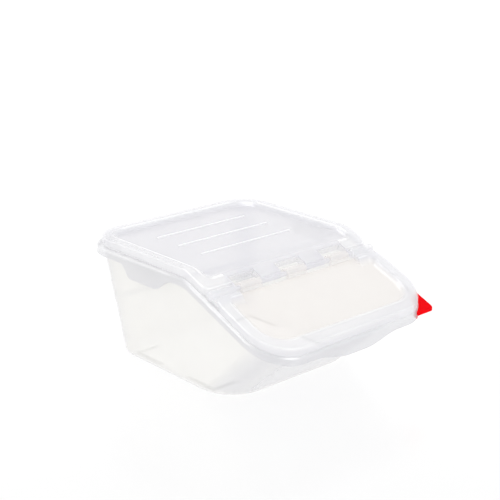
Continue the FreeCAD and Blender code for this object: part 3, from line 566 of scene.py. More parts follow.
def tub_shell(size):
    """Tub as one closed grid: base, outer wall, under the rim, skirt, rim, inner wall and floor.

    Rows run out from the base's middle, up the wall, round the rim and back down to the floor's middle.
    They lie closer where the back wall steps. The marks follow the thick front, the corners, the step and
    the rim, whose crest carries a painted highlight that fades at the corners and along the slope.
    """
    plan = Outline(steps(56), steps(120), steps(56), steps(28))
    centre = (0.0, size.rim_depth / 2 - size.base_inset - size.base_length / 2)
    under = size.lid_height + size.rim_wall

    def on_rim(inset, drop):
        x, y = rim_ring(size, plan, inset)
        return rows(x, y, top_line(size, y) - drop)

    def between(first, last, parts, drop):
        x = first[..., 0] + (last[..., 0] - first[..., 0]) * parts
        y = first[..., 1] + (last[..., 1] - first[..., 1]) * parts
        return rows(x, y, top_line(size, y) - drop)

    def up_wall(low, high, parts, inset):
        height = low + (high - low) * parts
        x, y = wall_ring(size, plan, height, inset)
        return rows(x, y, height)

    def wall_mark(wall):
        near = np.exp(-(((wall[..., 2] - size.step_height) / size.step_run) ** 2))
        return np.maximum(thicker, near * np.clip(plan.sine, 0.0, 1.0) ** 2)

    low_share, high_share = STEP_SHARES
    below_step = np.linspace(0.0, low_share, 16, endpoint=False)
    above_step = np.linspace(high_share, 1.0, 22)[1:]
    climb = np.concatenate((below_step, np.linspace(low_share, high_share, 13), above_step))[1:, None]
    foot = foot_ring(size, plan, shares(10), size.base_round, 0.0, 0.0)
    wall_out = up_wall(foot[-1:, :, 2], wall_top(size, plan, 0.0, under), climb, 0.0)

    turn = turns(8)
    inner_round = size.rim_inner_round
    skirt_top = under + inner_round
    hollow = on_rim(size.rim_wall + inner_round * (1 - np.sin(turn)), skirt_top - inner_round * np.cos(turn))
    half = size.rim_wall / 2
    skirt_low = skirt_bottom(size, plan) - half
    inside = on_rim(np.full((1, 1), size.rim_wall), skirt_top + (skirt_low - skirt_top) * shares(8)[1:])
    edge_turn = turns(7, 0.0, 0.5)[1:]
    edge = on_rim(half + half * np.cos(edge_turn), skirt_low + half * np.sin(edge_turn))
    crest = size.lid_height + size.rim_round
    outside = on_rim(np.zeros((1, 1)), skirt_low + (crest - skirt_low) * shares(8)[1:])
    rim_turn = turn[1:]
    rim = on_rim(size.rim_round * (1 - np.cos(rim_turn)), crest - size.rim_round * np.sin(rim_turn))

    inner_top = wall_top(size, plan, size.wall, size.lid_height + MOUTH_SHARE * size.wall)
    inner_foot = foot_ring(size, plan, shares(10), size.base_round - size.wall, size.floor, size.wall)
    wall_in = up_wall(inner_foot[-1:, :, 2], inner_top, climb, size.wall)[::-1]
    mouth_x, mouth_y = wall_ring(size, plan, inner_top, (1 - MOUTH_SHARE) * size.wall)
    mouth = rows(mouth_x, mouth_y, top_line(size, mouth_y) - size.lid_height)

    bend = np.sqrt(plan.corner)
    thicker = np.maximum(plan.ahead, CORNER_MARK * bend)
    # Painted highlight: the white line along the rim's crest fades at the corners and along the slope
    level = smooth((rim[-1, :, 1] - size.bend_place) / size.bend_radius)
    rim_highlight_strength = (1.0 - RIM_HIGHLIGHT_FADE * bend) * (1.0 - RIM_HIGHLIGHT_FADE * (1.0 - level))
    base_parts = shares(6, MIDDLE_SHARE, BASE_EDGE_SHARE)
    floor = towards(inner_foot[:1], centre, base_parts[::-1], lambda y: np.full_like(y, size.floor))
    return stacked(
        (towards(foot[:1], centre, base_parts, np.zeros_like), FLOOR_MARK),
        (foot, FOOT_MARK),
        (wall_out, wall_mark(wall_out)),
        (between(wall_out[-1:], hollow[:1], shares(5, *LEDGE_SHARES), under), LEDGE_MARK),
        (hollow, THICK_MARK),
        (inside, THICK_MARK),
        (edge, THICK_MARK),
        (outside, THICK_MARK),
        # Painted highlight along the rim's rounding, strongest halfway round it
        (rim, THICK_MARK + RIM_PAINTED_HIGHLIGHT * rim_highlight_strength * np.sin(2 * rim_turn) ** 2),
        (between(rim[-1:], mouth, shares(5, *LEDGE_SHARES), size.lid_height), LEDGE_MARK),
        (mouth, LEDGE_MARK),
        (wall_in, wall_mark(wall_in)),
        (inner_foot[::-1], FLOOR_MARK),
        (floor, FLOOR_MARK),
    )


# Lids


def hinge_axis(size):
    """Depth and height of the hinge line: along the slope from the bend, then sunk below it."""
    cosine, sine = math.cos(size.slope), math.sin(size.slope)
    depth = size.bend_place - size.hinge_ahead * cosine + size.hinge_sink * sine
    return depth, size.total_height - size.hinge_ahead * sine - size.hinge_sink * cosine


def window_middles(size):
    """Places of the three hinge windows across the lid, one pitch apart."""
    return size.window_pitch * np.array([-1.0, 0.0, 1.0])


def hinge_columns(size):
    """Shares along a lid's hinge edge, with a column at each side of the windows and of the ears."""
    reach = size.lid_width / 2 - size.lid_meet_radius
    middles = window_middles(size)
    sides = np.concatenate((middles - size.window_width / 2, middles + size.window_width / 2))
    ears = size.hinge_length / 2 + size.ear_gap * np.array([0.0, 1.0])
    places = np.concatenate((np.linspace(-reach, reach, 100), sides, ears, -ears))
    return (np.unique(np.round(places, 7))[:-1] + reach) / (2 * reach)


def lower_of(first, second, blend):
    """Smaller of two heights, eased over a blend where they cross."""
    part = np.clip(0.5 + 0.5 * (second - first) / blend, 0.0, 1.0)
    return second + (first - second) * part - blend * part * (1.0 - part)


def squareness(size, inset):
    """Corner power at the hinge: squared along the lid's edge, easing to a round corner at the panel."""
    return SQUARE_POWER_SHARE + (1.0 - SQUARE_POWER_SHARE) * smooth(inset / size.border)


def lid_shell(size, plan, ring, depth, raised, marked, painted_highlight, centre, window_inset=None):
    """Lid as one closed grid: sunken panel, dished side, border, rounding and skirt, then back underneath.

    The top is the top line less the panel's depth times an eased share across the dish; the underside is
    the top less the wall. A column that isn't raised keeps the panel's level up to its edge. The edge marks
    are one along border and skirt and fade down the dish, times marked for each column. Painted highlight
    adds white painted highlights on the crests beside the dish, which fade at the corners, and round the
    outer edge. The windows are cut between the window inset on top and the same inset underneath, and
    walled with the lid's own columns.
    """
    wall = size.lid_wall
    turn = turns(7)[1:]
    edge_turn = turns(6, 0.0, 0.5)[1:]
    dish = shares(9)
    border = np.array(BORDER_SHARES)
    insets = size.border + (size.lid_round - size.border) * border
    under_insets = size.border + (wall - size.border) * border
    if window_inset is not None:
        insets = np.sort(np.append(insets, window_inset))[::-1]
        under_insets = np.sort(np.append(under_insets, window_inset))[::-1]
    insets = insets[1:, None]
    under_insets = under_insets[::-1][1:, None]

    def lost(y, part):
        return depth(y) * (1.0 - raised * (1.0 - part))

    def on(inset, part, below):
        x, y = ring(inset)
        return rows(x, y, top_line(size, y) - lost(y, part) - below)

    def skirt(inset, parts, first):
        x, y = ring(np.full((1, 1), inset))
        start = lost(y, 0.0) + first
        return rows(x, y, top_line(size, y) - start - (size.lid_height - wall / 2 - start) * parts)

    def panel(parts, below):
        return towards(slope_top[:1], centre, parts, lambda y: top_line(size, y) - depth(y) - below)

    slope_top = on(size.border + size.dish_run * dish[::-1], smooth(dish[::-1]), 0.0)
    slope_under = on(size.border + size.dish_run * dish, smooth(dish), wall)
    rounding = on(size.lid_round * (1 - np.sin(turn)), 0.0, size.lid_round * (1 - np.cos(turn)))
    panel_parts = shares(40, MIDDLE_SHARE, PANEL_EDGE_SHARE)
    # Painted highlights: white lines painted beside the dish, on the border's inner edge and halfway round
    # the outer rounding, fading at the corners
    white = painted_highlight * (1.0 - np.sqrt(plan.corner))
    dish_highlight = 1.0 - dish + white * smooth(1.0 - dish / DISH_HIGHLIGHT_SHARE)
    border_highlight = 1.0 + white * smooth(1.0 - (size.border - insets) / (BORDER_HIGHLIGHT_SHARE * size.border))
    rounding_highlight = 1.0 + ROUNDING_HIGHLIGHT_SHARE * painted_highlight * np.sin(2 * turn) ** 2
    parts = (
        (panel(panel_parts, 0.0), 0.0),
        (slope_top, marked * dish_highlight[::-1]),
        (on(insets, 0.0, 0.0), marked * border_highlight),
        (rounding, marked * rounding_highlight),
        (skirt(0.0, shares(5)[1:], size.lid_round), marked),
        (skirt_edge(size, ring, wall / 2, edge_turn), marked),
        (skirt(wall, shares(5)[::-1][1:], wall), marked),
        (on(under_insets, 0.0, wall), marked),
        (slope_under[1:], marked * (1.0 - dish[1:])),
        (panel(panel_parts[::-1], wall), 0.0),
    )
    if window_inset is None:
        return stacked(*parts)
    top_border, under_border = 2, 7
    starts = np.cumsum([0] + [len(group) for group, mark in parts])
    top_row = int(np.argmin(np.abs(insets - window_inset)))
    under_row = int(np.argmin(np.abs(under_insets - window_inset)))
    across = parts[top_border][0][top_row, :, 0]
    first, last = starts[top_border] + top_row, starts[under_border] + under_row
    return stacked(*parts, **window_cuts(size, plan, across, first, last, starts[-1]))


def skirt_edge(size, ring, low, turn):
    """Rounded lower edge of a lid's skirt: half a circle as wide as the wall."""
    x, y = ring(low - low * np.cos(turn))
    return rows(x, y, top_line(size, y) - size.lid_height + low - low * np.sin(turn))


def window_cuts(size, plan, x, first, last, count):
    """Faces to keep and the walls of the windows, between two rows of a lid's grid."""
    columns = plan.part.size
    place = np.round(x / size.window_pitch)
    inside = (plan.span == FRONT_SPAN) & (np.abs(place) <= 1)
    inside &= np.abs(x - place * size.window_pitch) <= size.window_width / 2 + TOUCH
    cut = inside & np.roll(inside, -1) & (place == np.roll(place, -1))
    keep = np.ones((count - 1, columns), bool)
    keep[first:last, cut] = False
    column = np.flatnonzero(cut)
    ahead = (column + 1) % columns
    top, under = first * columns, last * columns
    backs = np.stack((top + column, top + ahead, under + ahead, under + column), axis=-1)
    starts = column[~np.isin(column - 1, column)]
    ends = ahead[~np.isin(ahead, column)]
    down = np.arange(first, last + 1) * columns
    walls = [down[::-1] + start for start in starts] + [down + end for end in ends]
    return {"keep": keep, "extra": [*backs, *walls]}


def rear_lid_shell(size):
    """Rear lid: squared corners at the hinge, a level panel that turns down with the slope, three windows."""
    axis = hinge_axis(size)[0]
    plan = Outline(steps(60), steps(110), hinge_columns(size), steps(24))
    half, rear = size.lid_width / 2, size.rim_depth / 2 - size.lid_inset
    notch = axis + size.ear_radius + size.ear_gap
    nose = axis + NOSE_SHARE * size.rod_radius
    panel_edge = notch + size.border
    x, _ = plan.at(half, half, rear, notch, size.lid_rear_radius, size.lid_meet_radius)
    hinged = (plan.span == FRONT_SPAN) & (np.abs(x) <= size.hinge_length / 2 + TOUCH)
    front = np.where(hinged, nose, notch)

    def ring(inset):
        near = front + (panel_edge - front) * inset / size.border
        fore = np.where(inset < size.border, near, panel_edge + inset - size.border)
        radii = (size.lid_rear_radius - inset, size.lid_meet_radius - inset)
        return plan.at(half - inset, half - inset, rear - inset, fore, *radii, 1.0, squareness(size, inset))

    def depth(y):
        line = top_line(size, y)
        return line - lower_of(size.total_height - size.panel_depth, line - size.ramp_depth, size.ramp_blend)

    window_inset = size.border * (axis + size.window_length - nose) / (panel_edge - nose)
    marked = np.where(hinged, HINGE_MARK, THICK_MARK)
    centre = (0.0, (rear + panel_edge) / 2)
    return lid_shell(size, plan, ring, depth, 1.0, marked, REAR_LID_PAINTED_HIGHLIGHT, centre, window_inset)


def flap_shell(size):
    """Flap: squared corners at the hinge, a flat sloped panel, no border along the hinge between the ears."""
    plan = Outline(backwards(hinge_columns(size)), steps(70), steps(60), steps(28))
    half, fore = size.lid_width / 2, size.lid_front_inset - size.rim_depth / 2
    edge = hinge_axis(size)[0] - size.flap_gap
    shoulder = edge - size.lug_drop
    panel_edge = shoulder - size.lug_drop
    x, _ = plan.at(half, half, shoulder, fore, size.lid_meet_radius, size.lid_fore_radius)
    level = (plan.span == REAR_SPAN) & (np.abs(x) <= size.hinge_length / 2 + TOUCH)
    top = np.where(level, edge, shoulder)

    def ring(inset):
        near = top + (panel_edge - top) * inset / size.border
        rear = np.where(inset < size.border, near, panel_edge - inset + size.border)
        radii = (size.lid_meet_radius - inset, size.lid_fore_radius - inset)
        return plan.at(half - inset, half - inset, rear, fore + inset, *radii, squareness(size, inset), 1.0)

    def depth(y):
        return np.full_like(y, size.panel_depth / math.cos(size.slope))

    raised = np.where(level, 0.0, 1.0)
    return lid_shell(size, plan, ring, depth, raised, raised, FLAP_PAINTED_HIGHLIGHT, (0.0, (fore + panel_edge) / 2))


def eased_ends(first, last, ease, count):
    """Places from a first to a last one along a quarter circle at each end, and how far each draws in."""
    turn = turns(count)
    near, drawn = ease * (1 - np.cos(turn)), ease * (1 - np.sin(turn))
    return np.concatenate((first + near, last - near[::-1])), np.concatenate((drawn, drawn[::-1]))


def bar_shell(first, last, radius, ease, y, z, edge, columns=40):
    """Round bar across the bin, a circle carried from a first to a last place, with eased ends."""
    x, drawn = eased_ends(first, last, ease, 6)
    reach = radius - drawn
    turn = steps(columns)[None, :] * math.tau
    return Shell(rows(x, y + reach * np.cos(turn), z + reach * np.sin(turn)), edge)


def slab_shell(first, last, profile, ease, edge):
    """Solid across the bin from a first to a last place: a closed profile in depth and height.

    At its ends the profile draws in along its own normal, which stands square to its neighbours' line.
    """
    x, drawn = eased_ends(first, last, ease, 5)
    ahead = np.roll(profile, -1, axis=0) - np.roll(profile, 1, axis=0)
    normal = np.stack((-ahead[:, 1], ahead[:, 0]), axis=-1) / np.linalg.norm(ahead, axis=1)[:, None]
    y = profile[None, :, 0] + drawn * normal[None, :, 0]
    z = profile[None, :, 1] + drawn * normal[None, :, 1]
    return Shell(rows(x, y, z), edge)


def slope_points(size, along, out):
    """Depth and height of points at a distance along the slope from the bend and out from it."""
    along, out = np.asarray(along), np.asarray(out)
    y = size.bend_place - along * math.cos(size.slope) - out * math.sin(size.slope)
    z = size.total_height - along * math.sin(size.slope) + out * math.cos(size.slope)
    return np.stack((y, z), axis=-1)


def rib_shells(size):
    """Ribs of the rear panel: rounded ridges, rows of a lengthened circle that sink as they widen."""
    turn = steps(48)[None, :] * math.tau
    rise = turns(7)[1:]
    reach = size.rib_width / 2
    x = (size.rib_length / 2 - reach) * np.sign(np.cos(turn)) + reach * np.sin(rise) * np.cos(turn)
    root = size.total_height - size.panel_depth - size.rib_sink
    z = root + (size.rib_height + size.rib_sink) * np.cos(rise)
    shells = []
    for step in range(RIB_COUNT):
        middle = size.rim_depth / 2 - size.rib_place - size.rib_pitch * step
        y = middle + reach * np.sin(rise) * np.sin(turn)
        # Painted highlight: the mark rises to a white line painted along each rib's top
        shells.append(Shell(rows(x, y, z), THICK_MARK + np.cos(rise)))
    return shells


def window_frame_shells(size):
    """Frames under the hinge windows: a wall behind and one at each side, down to the rim's level."""
    back = size.hinge_ahead - size.window_length / math.cos(size.slope)
    high, low = -size.lid_wall / 2, size.rim_gap - size.lid_height * math.cos(size.slope)

    def wall(last):
        first = back - size.lid_wall
        return slope_points(size, [first, last, last, first], [low, low, high, high])

    behind, beside = wall(back), wall(size.hinge_ahead - size.rod_radius)
    shells = []
    for middle in window_middles(size):
        left, right = middle - size.window_width / 2, middle + size.window_width / 2
        for first, last, profile in (
            (left, right, behind),
            (left - size.lid_wall, left, beside),
            (right, right + size.lid_wall, beside),
        ):
            shells.append(slab_shell(first, last, profile, size.frame_ease, FRAME_MARK))
    return shells


def channel_shells(size):
    """Stacking channels seen in the base: four angles, a corner outline raised to the channel's depth."""
    # Painted shade: these thin dark outlines stand in for the shade in the grooves, by their material's
    # colour
    back = size.rim_depth / 2 - size.base_inset
    side = size.base_width / 2 - size.channel_side_inset
    width, cross, leg = size.channel_width, size.channel_cross, size.channel_side
    across = np.array([[0.0, cross, cross, width, width, 0.0]])
    along = np.array([[0.0, 0.0, width, width, leg, leg]])
    z = np.array([[size.channel_skin], [size.channel_depth]])
    shells = []
    for hand in (1.0, -1.0):
        x = hand * (side - across)
        shells.append(Shell(rows(x, back - size.channel_rear_inset - along, z)))
        shells.append(Shell(rows(x, back - size.base_length + size.channel_fore_inset + along, z)))
    return shells


def lip_shell(size):
    """Locating lip under the rear lid: a thin wall's profile carried round the inside of the tub's mouth.

    The path runs back along one side, round two quarter circles and forward along the other side. A point
    of the profile lies inside the path by a share of the lip's wall, against the path's outward normal.
    """
    reach = size.wall + size.lip_clearance
    half = size.mouth_width / 2 - reach
    rear = size.rim_depth / 2 - size.rim_overhang - reach
    radius = size.mouth_rear_radius - reach
    fore = size.bend_place + size.lip_end
    turn = np.linspace(0.0, math.pi / 2, 50)
    arc_x, arc_y = half - radius + radius * np.cos(turn), rear - radius + radius * np.sin(turn)
    side = np.concatenate(([half], arc_x, -arc_x[::-1], [-half]))[:, None]
    back = np.concatenate(([fore], arc_y, arc_y[::-1], [fore]))[:, None]
    normal_x = np.concatenate(([1.0], np.cos(turn), -np.cos(turn[::-1]), [-1.0]))[:, None]
    normal_y = np.concatenate(([0.0], np.sin(turn), np.sin(turn[::-1]), [0.0]))[:, None]
    high = size.total_height - size.lid_wall
    low = size.total_height - size.lid_height - size.lip_depth
    eased = low + size.lip_ease
    inset = np.array([LIP_SHARES]) * size.lip_wall
    z = np.array([[high, eased, low, low, eased, high]])
    return Shell(rows(side - inset * normal_x, back - inset * normal_y, z))


def hinge_rod_shells(size):
    """Hinge rod of the rear lid with a thinner pin at each end."""
    y, z = hinge_axis(size)
    half = size.hinge_length / 2
    reach = half + size.stub_length
    return [
        bar_shell(-half, half, size.rod_radius, size.rod_ease, y, z, ROD_MARK),
        bar_shell(-reach, reach, size.stub_radius, size.rod_ease, y, z, ROD_MARK, columns=28),
    ]


def ear_shells(size):
    """Ears of the flap: eased barrels on the rod's pins, with a web down to the side border."""
    y, z = hinge_axis(size)
    first, last = size.hinge_length / 2 + size.ear_gap, size.lid_width / 2
    end = size.hinge_ahead + size.flap_gap + size.lug_drop + size.border / 2
    low, high = -size.hinge_sink - size.web, -size.hinge_sink + WEB_RISE_SHARE * size.web
    along = np.linspace(size.hinge_ahead, end, 8)
    out = np.repeat([low, high], along.size)
    web = slope_points(size, np.concatenate((along, along[::-1])), out)
    inset = size.web_inset
    shells = []
    for start, stop in ((first, last), (-last, -first)):
        shells.append(bar_shell(start, stop, size.ear_radius, size.ear_round, y, z, THICK_MARK))
        shells.append(slab_shell(start + inset, stop - inset, web, size.hook_ease, THICK_MARK))
    return shells


def hook_shells(size):
    """Snap hooks of the flap: a ring open below that turns on the rod, an arm to the flap and a tail."""
    y, z = hinge_axis(size)
    bore = size.rod_radius + size.hook_gap
    turn = np.linspace(*HOOK_TURN_SHARES, 40) * math.tau

    def round_rod(radius, around):
        return np.stack((y - radius * np.cos(around), z + radius * np.sin(around)), axis=-1)

    ring = np.concatenate((round_rod(bore + size.hook_wall, turn), round_rod(bore, turn[::-1])))
    level, low = -size.hinge_sink, size.rim_gap - size.lid_height * math.cos(size.slope)
    near, far = size.hinge_ahead + bore, size.hinge_ahead + size.flap_gap + size.lid_wall
    lap = size.arm_lap - size.panel_depth
    arm = slope_points(size, [near, near, far, far, near + size.hook_wall], [level, low, low, lap, level])
    start, stop = size.hinge_ahead - size.hook_tail, size.hinge_ahead - bore
    beneath = level - size.hook_wall
    tail = slope_points(size, [start, stop, stop, start], [beneath, beneath, level, level])
    half = size.hook_width / 2
    shells = []
    for middle in window_middles(size):
        for profile in (ring, arm, tail):
            shells.append(slab_shell(middle - half, middle + half, profile, size.hook_ease, HOOK_MARK))
    return shells


# Finishes


class Wire:
    """Socket of a node tree; arithmetic on it adds Math nodes."""

    def __init__(self, tree, socket=None):
        self.tree = tree
        self.socket = socket

    def node(self, kind, settings=None, inputs=None, output=0):
        """Adds a node of a kind, sets its settings, feeds its inputs and gives one of its outputs."""
        made = self.tree.nodes.new(kind)
        for key, value in (settings or {}).items():
            setattr(made, key, value)
        for key, value in (inputs or {}).items():
            if isinstance(value, Wire):
                self.tree.links.new(value.socket, made.inputs[key])
            else:
                made.inputs[key].default_value = value
        return Wire(self.tree, made.outputs[output])

    def math(self, operation, first, second):
        """Adds a Math node that works on two values."""
        return self.node("ShaderNodeMath", {"operation": operation}, {0: first, 1: second})

    def __add__(self, other):
        return self.math("ADD", self, other)

    def __radd__(self, other):
        return self.math("ADD", other, self)

    def __sub__(self, other):
        return self.math("SUBTRACT", self, other)

    def __rsub__(self, other):
        return self.math("SUBTRACT", other, self)

    def __mul__(self, other):
        return self.math("MULTIPLY", self, other)

    def __rmul__(self, other):
        return self.math("MULTIPLY", other, self)


def new_material(name):
    """Empty material with a shader, and the wire of the piece's Object coordinates."""
    material = bpy.data.materials.new(name)
    material.use_nodes = True
    tree = material.node_tree
    place = Wire(tree).node("ShaderNodeTexCoord", output="Object")
    return material, tree.nodes["Principled BSDF"], place


def noise(place, scale, detail, distortion=0.0):
    """Noise over the piece, from 0 to 1, in so many cells to a metre."""
    inputs = {"Vector": place, "Scale": scale, "Detail": detail, "Distortion": distortion}
    return place.node("ShaderNodeTexNoise", None, inputs, "Fac")


def bump(height, strength):
    """Normal of a surface that a height raises."""
    inputs = {"Strength": strength, "Distance": BUMP_DISTANCE, "Height": height}
    return height.node("ShaderNodeBump", None, inputs, "Normal")


def mix_colour(factor, first, second):
    """Mixes two colours, each a wire or four numbers, by a factor."""
    inputs = {"Factor": factor, "A": first, "B": second}
    return factor.node("ShaderNodeMix", {"data_type": "RGBA"}, inputs, "Result")


def link(shader, name, wire):
    """Feeds one of the shader's inputs from a wire."""
    wire.tree.links.new(wire.socket, shader.inputs[name])


def glow(shader, strength):
    """Lets a surface give out even white light."""
    shader.inputs["Emission Color"].default_value = WHITE
    shader.inputs["Emission Strength"].default_value = strength


def rgba(colour_value, factor=1.0):
    """Four numbers of a colour, scaled."""
    return (*(min(1.0, channel * factor) for channel in colour_value), 1.0)


def milky_plastic(name, looks, plain, thick):
    """Milky moulded plastic, from the colour and cover of its plain wall and of its thick edges.

    The edge mark blends plain into thick up to 1, and beyond that into a painted highlight, white and more
    opaque. Clouds shift colour and cover, flow marks and a fine grain shift the roughness and raise the
    surface, and a weak even glow stands for the light that scatters inside the wall.
    """
    material, shader, place = new_material(name)
    plain_colour, plain_cover = plain
    thick_colour, thick_cover = thick
    edge = place.node("ShaderNodeAttribute", {"attribute_name": "edge"}, output="Fac")
    cloud = noise(place, CLOUD_SCALE, SOFT_DETAIL)
    flow = noise(place, FLOW_SCALE, SOFT_DETAIL)
    grain = noise(place, GRAIN_SCALE, FINE_DETAIL)
    thickened = edge.math("MINIMUM", edge, 1.0)
    # Painted highlight: an edge mark above 1 paints the surface white and more opaque, as a glint would look
    crest = edge.math("MAXIMUM", edge - 1.0, 0.0)
    tint = mix_colour(thickened, rgba(plain_colour), rgba(thick_colour))
    tint = mix_colour(crest, tint, rgba(looks.painted_highlight_colour))
    link(shader, "Base Color", mix_colour(CLOUD_TINT * cloud, tint, rgba(looks.cloud_colour)))
    link(shader, "Roughness", looks.gloss - POLISH + FLOW_ROUGHNESS * flow + GRAIN_ROUGHNESS * grain)
    cover = plain_cover - CLOUD_COVER / 2 + CLOUD_COVER * cloud + (thick_cover - plain_cover) * thickened
    link(shader, "Alpha", cover + looks.painted_highlight_cover * crest)
    link(shader, "Normal", bump(flow + GRAIN_HEIGHT_SHARE * grain, PLASTIC_BUMP))
    shader.inputs["IOR"].default_value = PLASTIC_IOR
    glow(shader, looks.plastic_glow)
    return material


def clip_plastic(name, looks):
    """Dyed plastic: a soft swirl shifts its colour, and swirl and grain its roughness and surface."""
    material, shader, place = new_material(name)
    swirl = noise(place, SWIRL_SCALE, SWIRL_DETAIL, SWIRL_DISTORTION)
    grain = noise(place, CLIP_GRAIN_SCALE, FINE_DETAIL)
    dark, light = (rgba(looks.clip_colour, part) for part in DYE_SHARES)
    link(shader, "Base Color", mix_colour(swirl, dark, light))
    link(shader, "Roughness", looks.clip_gloss + SWIRL_ROUGHNESS * swirl + CLIP_GRAIN_ROUGHNESS * grain)
    link(shader, "Normal", bump(grain, CLIP_BUMP))
    shader.inputs["Specular IOR Level"].default_value = CLIP_SPECULAR
    return material


def floor_paint(name, looks):
    """White table: an even glow under a softly patched gloss coat, which mirrors the bin faintly."""
    material, shader, place = new_material(name)
    patch = noise(place, PATCH_SCALE, SOFT_DETAIL)
    link(shader, "Base Color", mix_colour(patch, rgba(looks.floor_colour), rgba(looks.patch_colour)))
    link(shader, "Roughness", looks.floor_gloss + PATCH_ROUGHNESS * patch)
    glow(shader, looks.floor_glow)
    return material


# Stage


def add_floor(scene, looks):
    """White square floor on which the bin stands."""
    reach = FLOOR_REACH
    corners = [(-reach, -reach, 0), (reach, -reach, 0), (reach, reach, 0), (-reach, reach, 0)]
    mesh = bpy.data.meshes.new("floor")
    mesh.from_pydata(corners, [], [(0, 1, 2, 3)])
    mesh.materials.append(floor_paint("floor_paint", looks))
    floor = bpy.data.objects.new("floor", mesh)
    scene.collection.objects.link(floor)


def add_room(scene, looks):
    """Even white room, with as many see-through faces in a row as the bin can show."""
    world = bpy.data.worlds.new("white_room")
    world.use_nodes = True
    backing = world.node_tree.nodes["Background"]
    backing.inputs["Color"].default_value = WHITE
    backing.inputs["Strength"].default_value = looks.sky
    scene.world = world
    scene.view_settings.view_transform = "Standard"
    scene.cycles.transparent_max_bounces = CLEAR_LAYERS


def add_light(scene, name, place, width):
    """Square soft light that faces the bin and shows in its gloss alone."""
    light = bpy.data.lights.new(name, "AREA")
    light.size = width
    light.energy = LIGHT_POWER
    lamp = bpy.data.objects.new(name, light)
    lamp.location = place
    lamp.visible_diffuse = False
    lamp.rotation_euler = (Vector(place) - Vector(LIGHT_AIM)).to_track_quat("Z", "Y").to_euler()
    scene.collection.objects.link(lamp)


def add_camera(scene, looks):
    """Camera at its place, turned so that its back and upward directions are the given ones."""
    camera = bpy.data.objects.new("camera", bpy.data.cameras.new("camera"))
    scene.collection.objects.link(camera)
    back = Vector(looks.camera_aim).normalized()
    across = Vector(looks.camera_up).cross(back).normalized()
    turn = Matrix((across, back.cross(across), back)).transposed()
    camera.matrix_world = Matrix.Translation(looks.camera_place) @ turn.to_4x4()
    camera.data.lens = looks.camera_lens
    camera.data.clip_end = VIEW_REACH
    scene.camera = camera


# Operators


def sizes_and_looks(context):
    """The scene's sizes and looks of the bin."""
    return context.scene.bin_sizes, context.scene.bin_looks


class BIN_OT_tub(Operator):
    """Make the tub with its rim, grips, front pull and stacking channels"""

    bl_idname = "bin.tub"
    bl_label = "Tub"

    def execute(self, context):
        size, looks = sizes_and_looks(context)
        wall = (looks.tub_colour, looks.tub_cover)
        rim = (looks.rim_colour, looks.rim_cover)
        channel = (looks.channel_shade_colour, looks.channel_cover)
        plastic = milky_plastic("tub_plastic", looks, wall, rim)
        add_piece("tub_shell", [tub_shell(size)], plastic, "tub_body", "tub")
        # Painted shade: the stacking channels get a dark plastic that stands in for the shade in their
        # grooves
        channel_shade = milky_plastic("channel_painted_shade", looks, channel, channel)
        add_piece("stacking_channels", channel_shells(size), channel_shade, "tub_body", "tub")
        return {"FINISHED"}


class BIN_OT_rear_lid(Operator):
    """Make the rear lid with its ribs, hinge windows, hinge rod and locating lip"""

    bl_idname = "bin.rear_lid"
    bl_label = "Rear lid"

    def execute(self, context):
        size, looks = sizes_and_looks(context)
        edge = (looks.edge_colour, looks.edge_cover)
        plastic = milky_plastic("rear_lid_plastic", looks, (looks.lid_colour, looks.lid_cover), edge)
        add_piece("rear_lid_shell", [rear_lid_shell(size)], plastic, "lid_body", "rear_lid")
        add_piece("rear_lid_ribs", rib_shells(size), plastic, "lid_body", "rear_lid")
        thin = milky_plastic("lip_plastic", looks, (looks.lid_colour, looks.lip_cover), edge)
        add_piece("rear_lid_lip", [lip_shell(size)], thin, "lid_body", "rear_lid")
        add_piece("window_frames", window_frame_shells(size), thin, "lid_body", "rear_lid")
        add_piece("hinge_rod", hinge_rod_shells(size), plastic, "lid_body", "rear_lid")
        return {"FINISHED"}


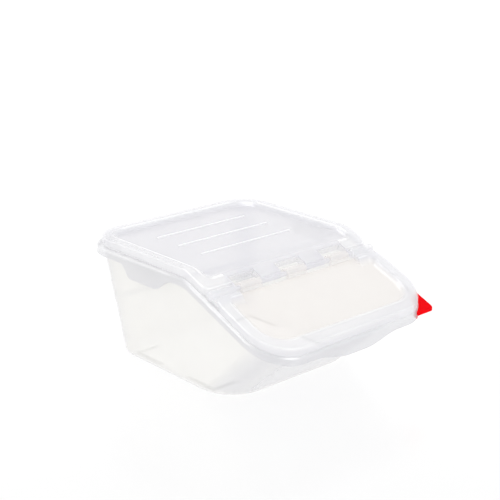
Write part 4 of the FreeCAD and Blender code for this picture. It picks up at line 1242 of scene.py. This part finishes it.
class BIN_OT_flap(Operator):
    """Make the front flap with its ears and snap hooks"""

    bl_idname = "bin.flap"
    bl_label = "Front flap"

    def execute(self, context):
        size, looks = sizes_and_looks(context)
        edge = (looks.edge_colour, looks.edge_cover)
        plastic = milky_plastic("flap_plastic", looks, (looks.flap_colour, looks.flap_cover), edge)
        add_piece("flap_shell", [flap_shell(size)], plastic, "flap_body", "front_flap")
        add_piece("flap_ears", ear_shells(size), plastic, "flap_body", "front_flap")
        add_piece("flap_hooks", hook_shells(size), plastic, "flap_body", "front_flap")
        return {"FINISHED"}


class BIN_OT_clip(Operator):
    """Give the colour clip its plastic"""

    bl_idname = "bin.clip"
    bl_label = "Colour clip"

    def execute(self, context):
        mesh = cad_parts["colour_clip"].data
        mesh.materials.clear()
        mesh.materials.append(clip_plastic("clip_plastic", context.scene.bin_looks))
        return {"FINISHED"}


class BIN_OT_stage(Operator):
    """Make the floor, the studio light and the camera"""

    bl_idname = "bin.stage"
    bl_label = "Stage"

    def execute(self, context):
        scene, looks = context.scene, context.scene.bin_looks
        add_floor(scene, looks)
        add_room(scene, looks)
        for name, place, width in STUDIO_LIGHTS:
            add_light(scene, name, place, width)
        add_camera(scene, looks)
        return {"FINISHED"}


class BIN_PT_panel(Panel):
    """Lists the bin's operators and sizes"""

    bl_idname = "BIN_PT_panel"
    bl_label = "Ingredient bin"
    bl_space_type = "VIEW_3D"
    bl_region_type = "UI"
    bl_category = "Bin"

    def draw(self, context):
        for operator in OPERATORS:
            self.layout.operator(operator.bl_idname)
        for group in (context.scene.bin_sizes, context.scene.bin_looks):
            for key in group.__annotations__:
                self.layout.prop(group, key)


OPERATORS = (BIN_OT_tub, BIN_OT_rear_lid, BIN_OT_flap, BIN_OT_clip, BIN_OT_stage)
CLASSES = (BinSizes, BinLooks, *OPERATORS, BIN_PT_panel)


def register():
    """Registers the classes and hangs the sizes and looks on the scene."""
    for kind in CLASSES:
        bpy.utils.register_class(kind)
    bpy.types.Scene.bin_sizes = PointerProperty(type=BinSizes)
    bpy.types.Scene.bin_looks = PointerProperty(type=BinLooks)


def unregister():
    """Undoes what register did, in reverse."""
    del bpy.types.Scene.bin_looks
    del bpy.types.Scene.bin_sizes
    for kind in reversed(CLASSES):
        bpy.utils.unregister_class(kind)


def main():
    """Makes every piece and the stage."""
    register()
    bpy.ops.bin.tub()
    bpy.ops.bin.rear_lid()
    bpy.ops.bin.flap()
    bpy.ops.bin.clip()
    bpy.ops.bin.stage()


if __name__ == "__main__":
    main()
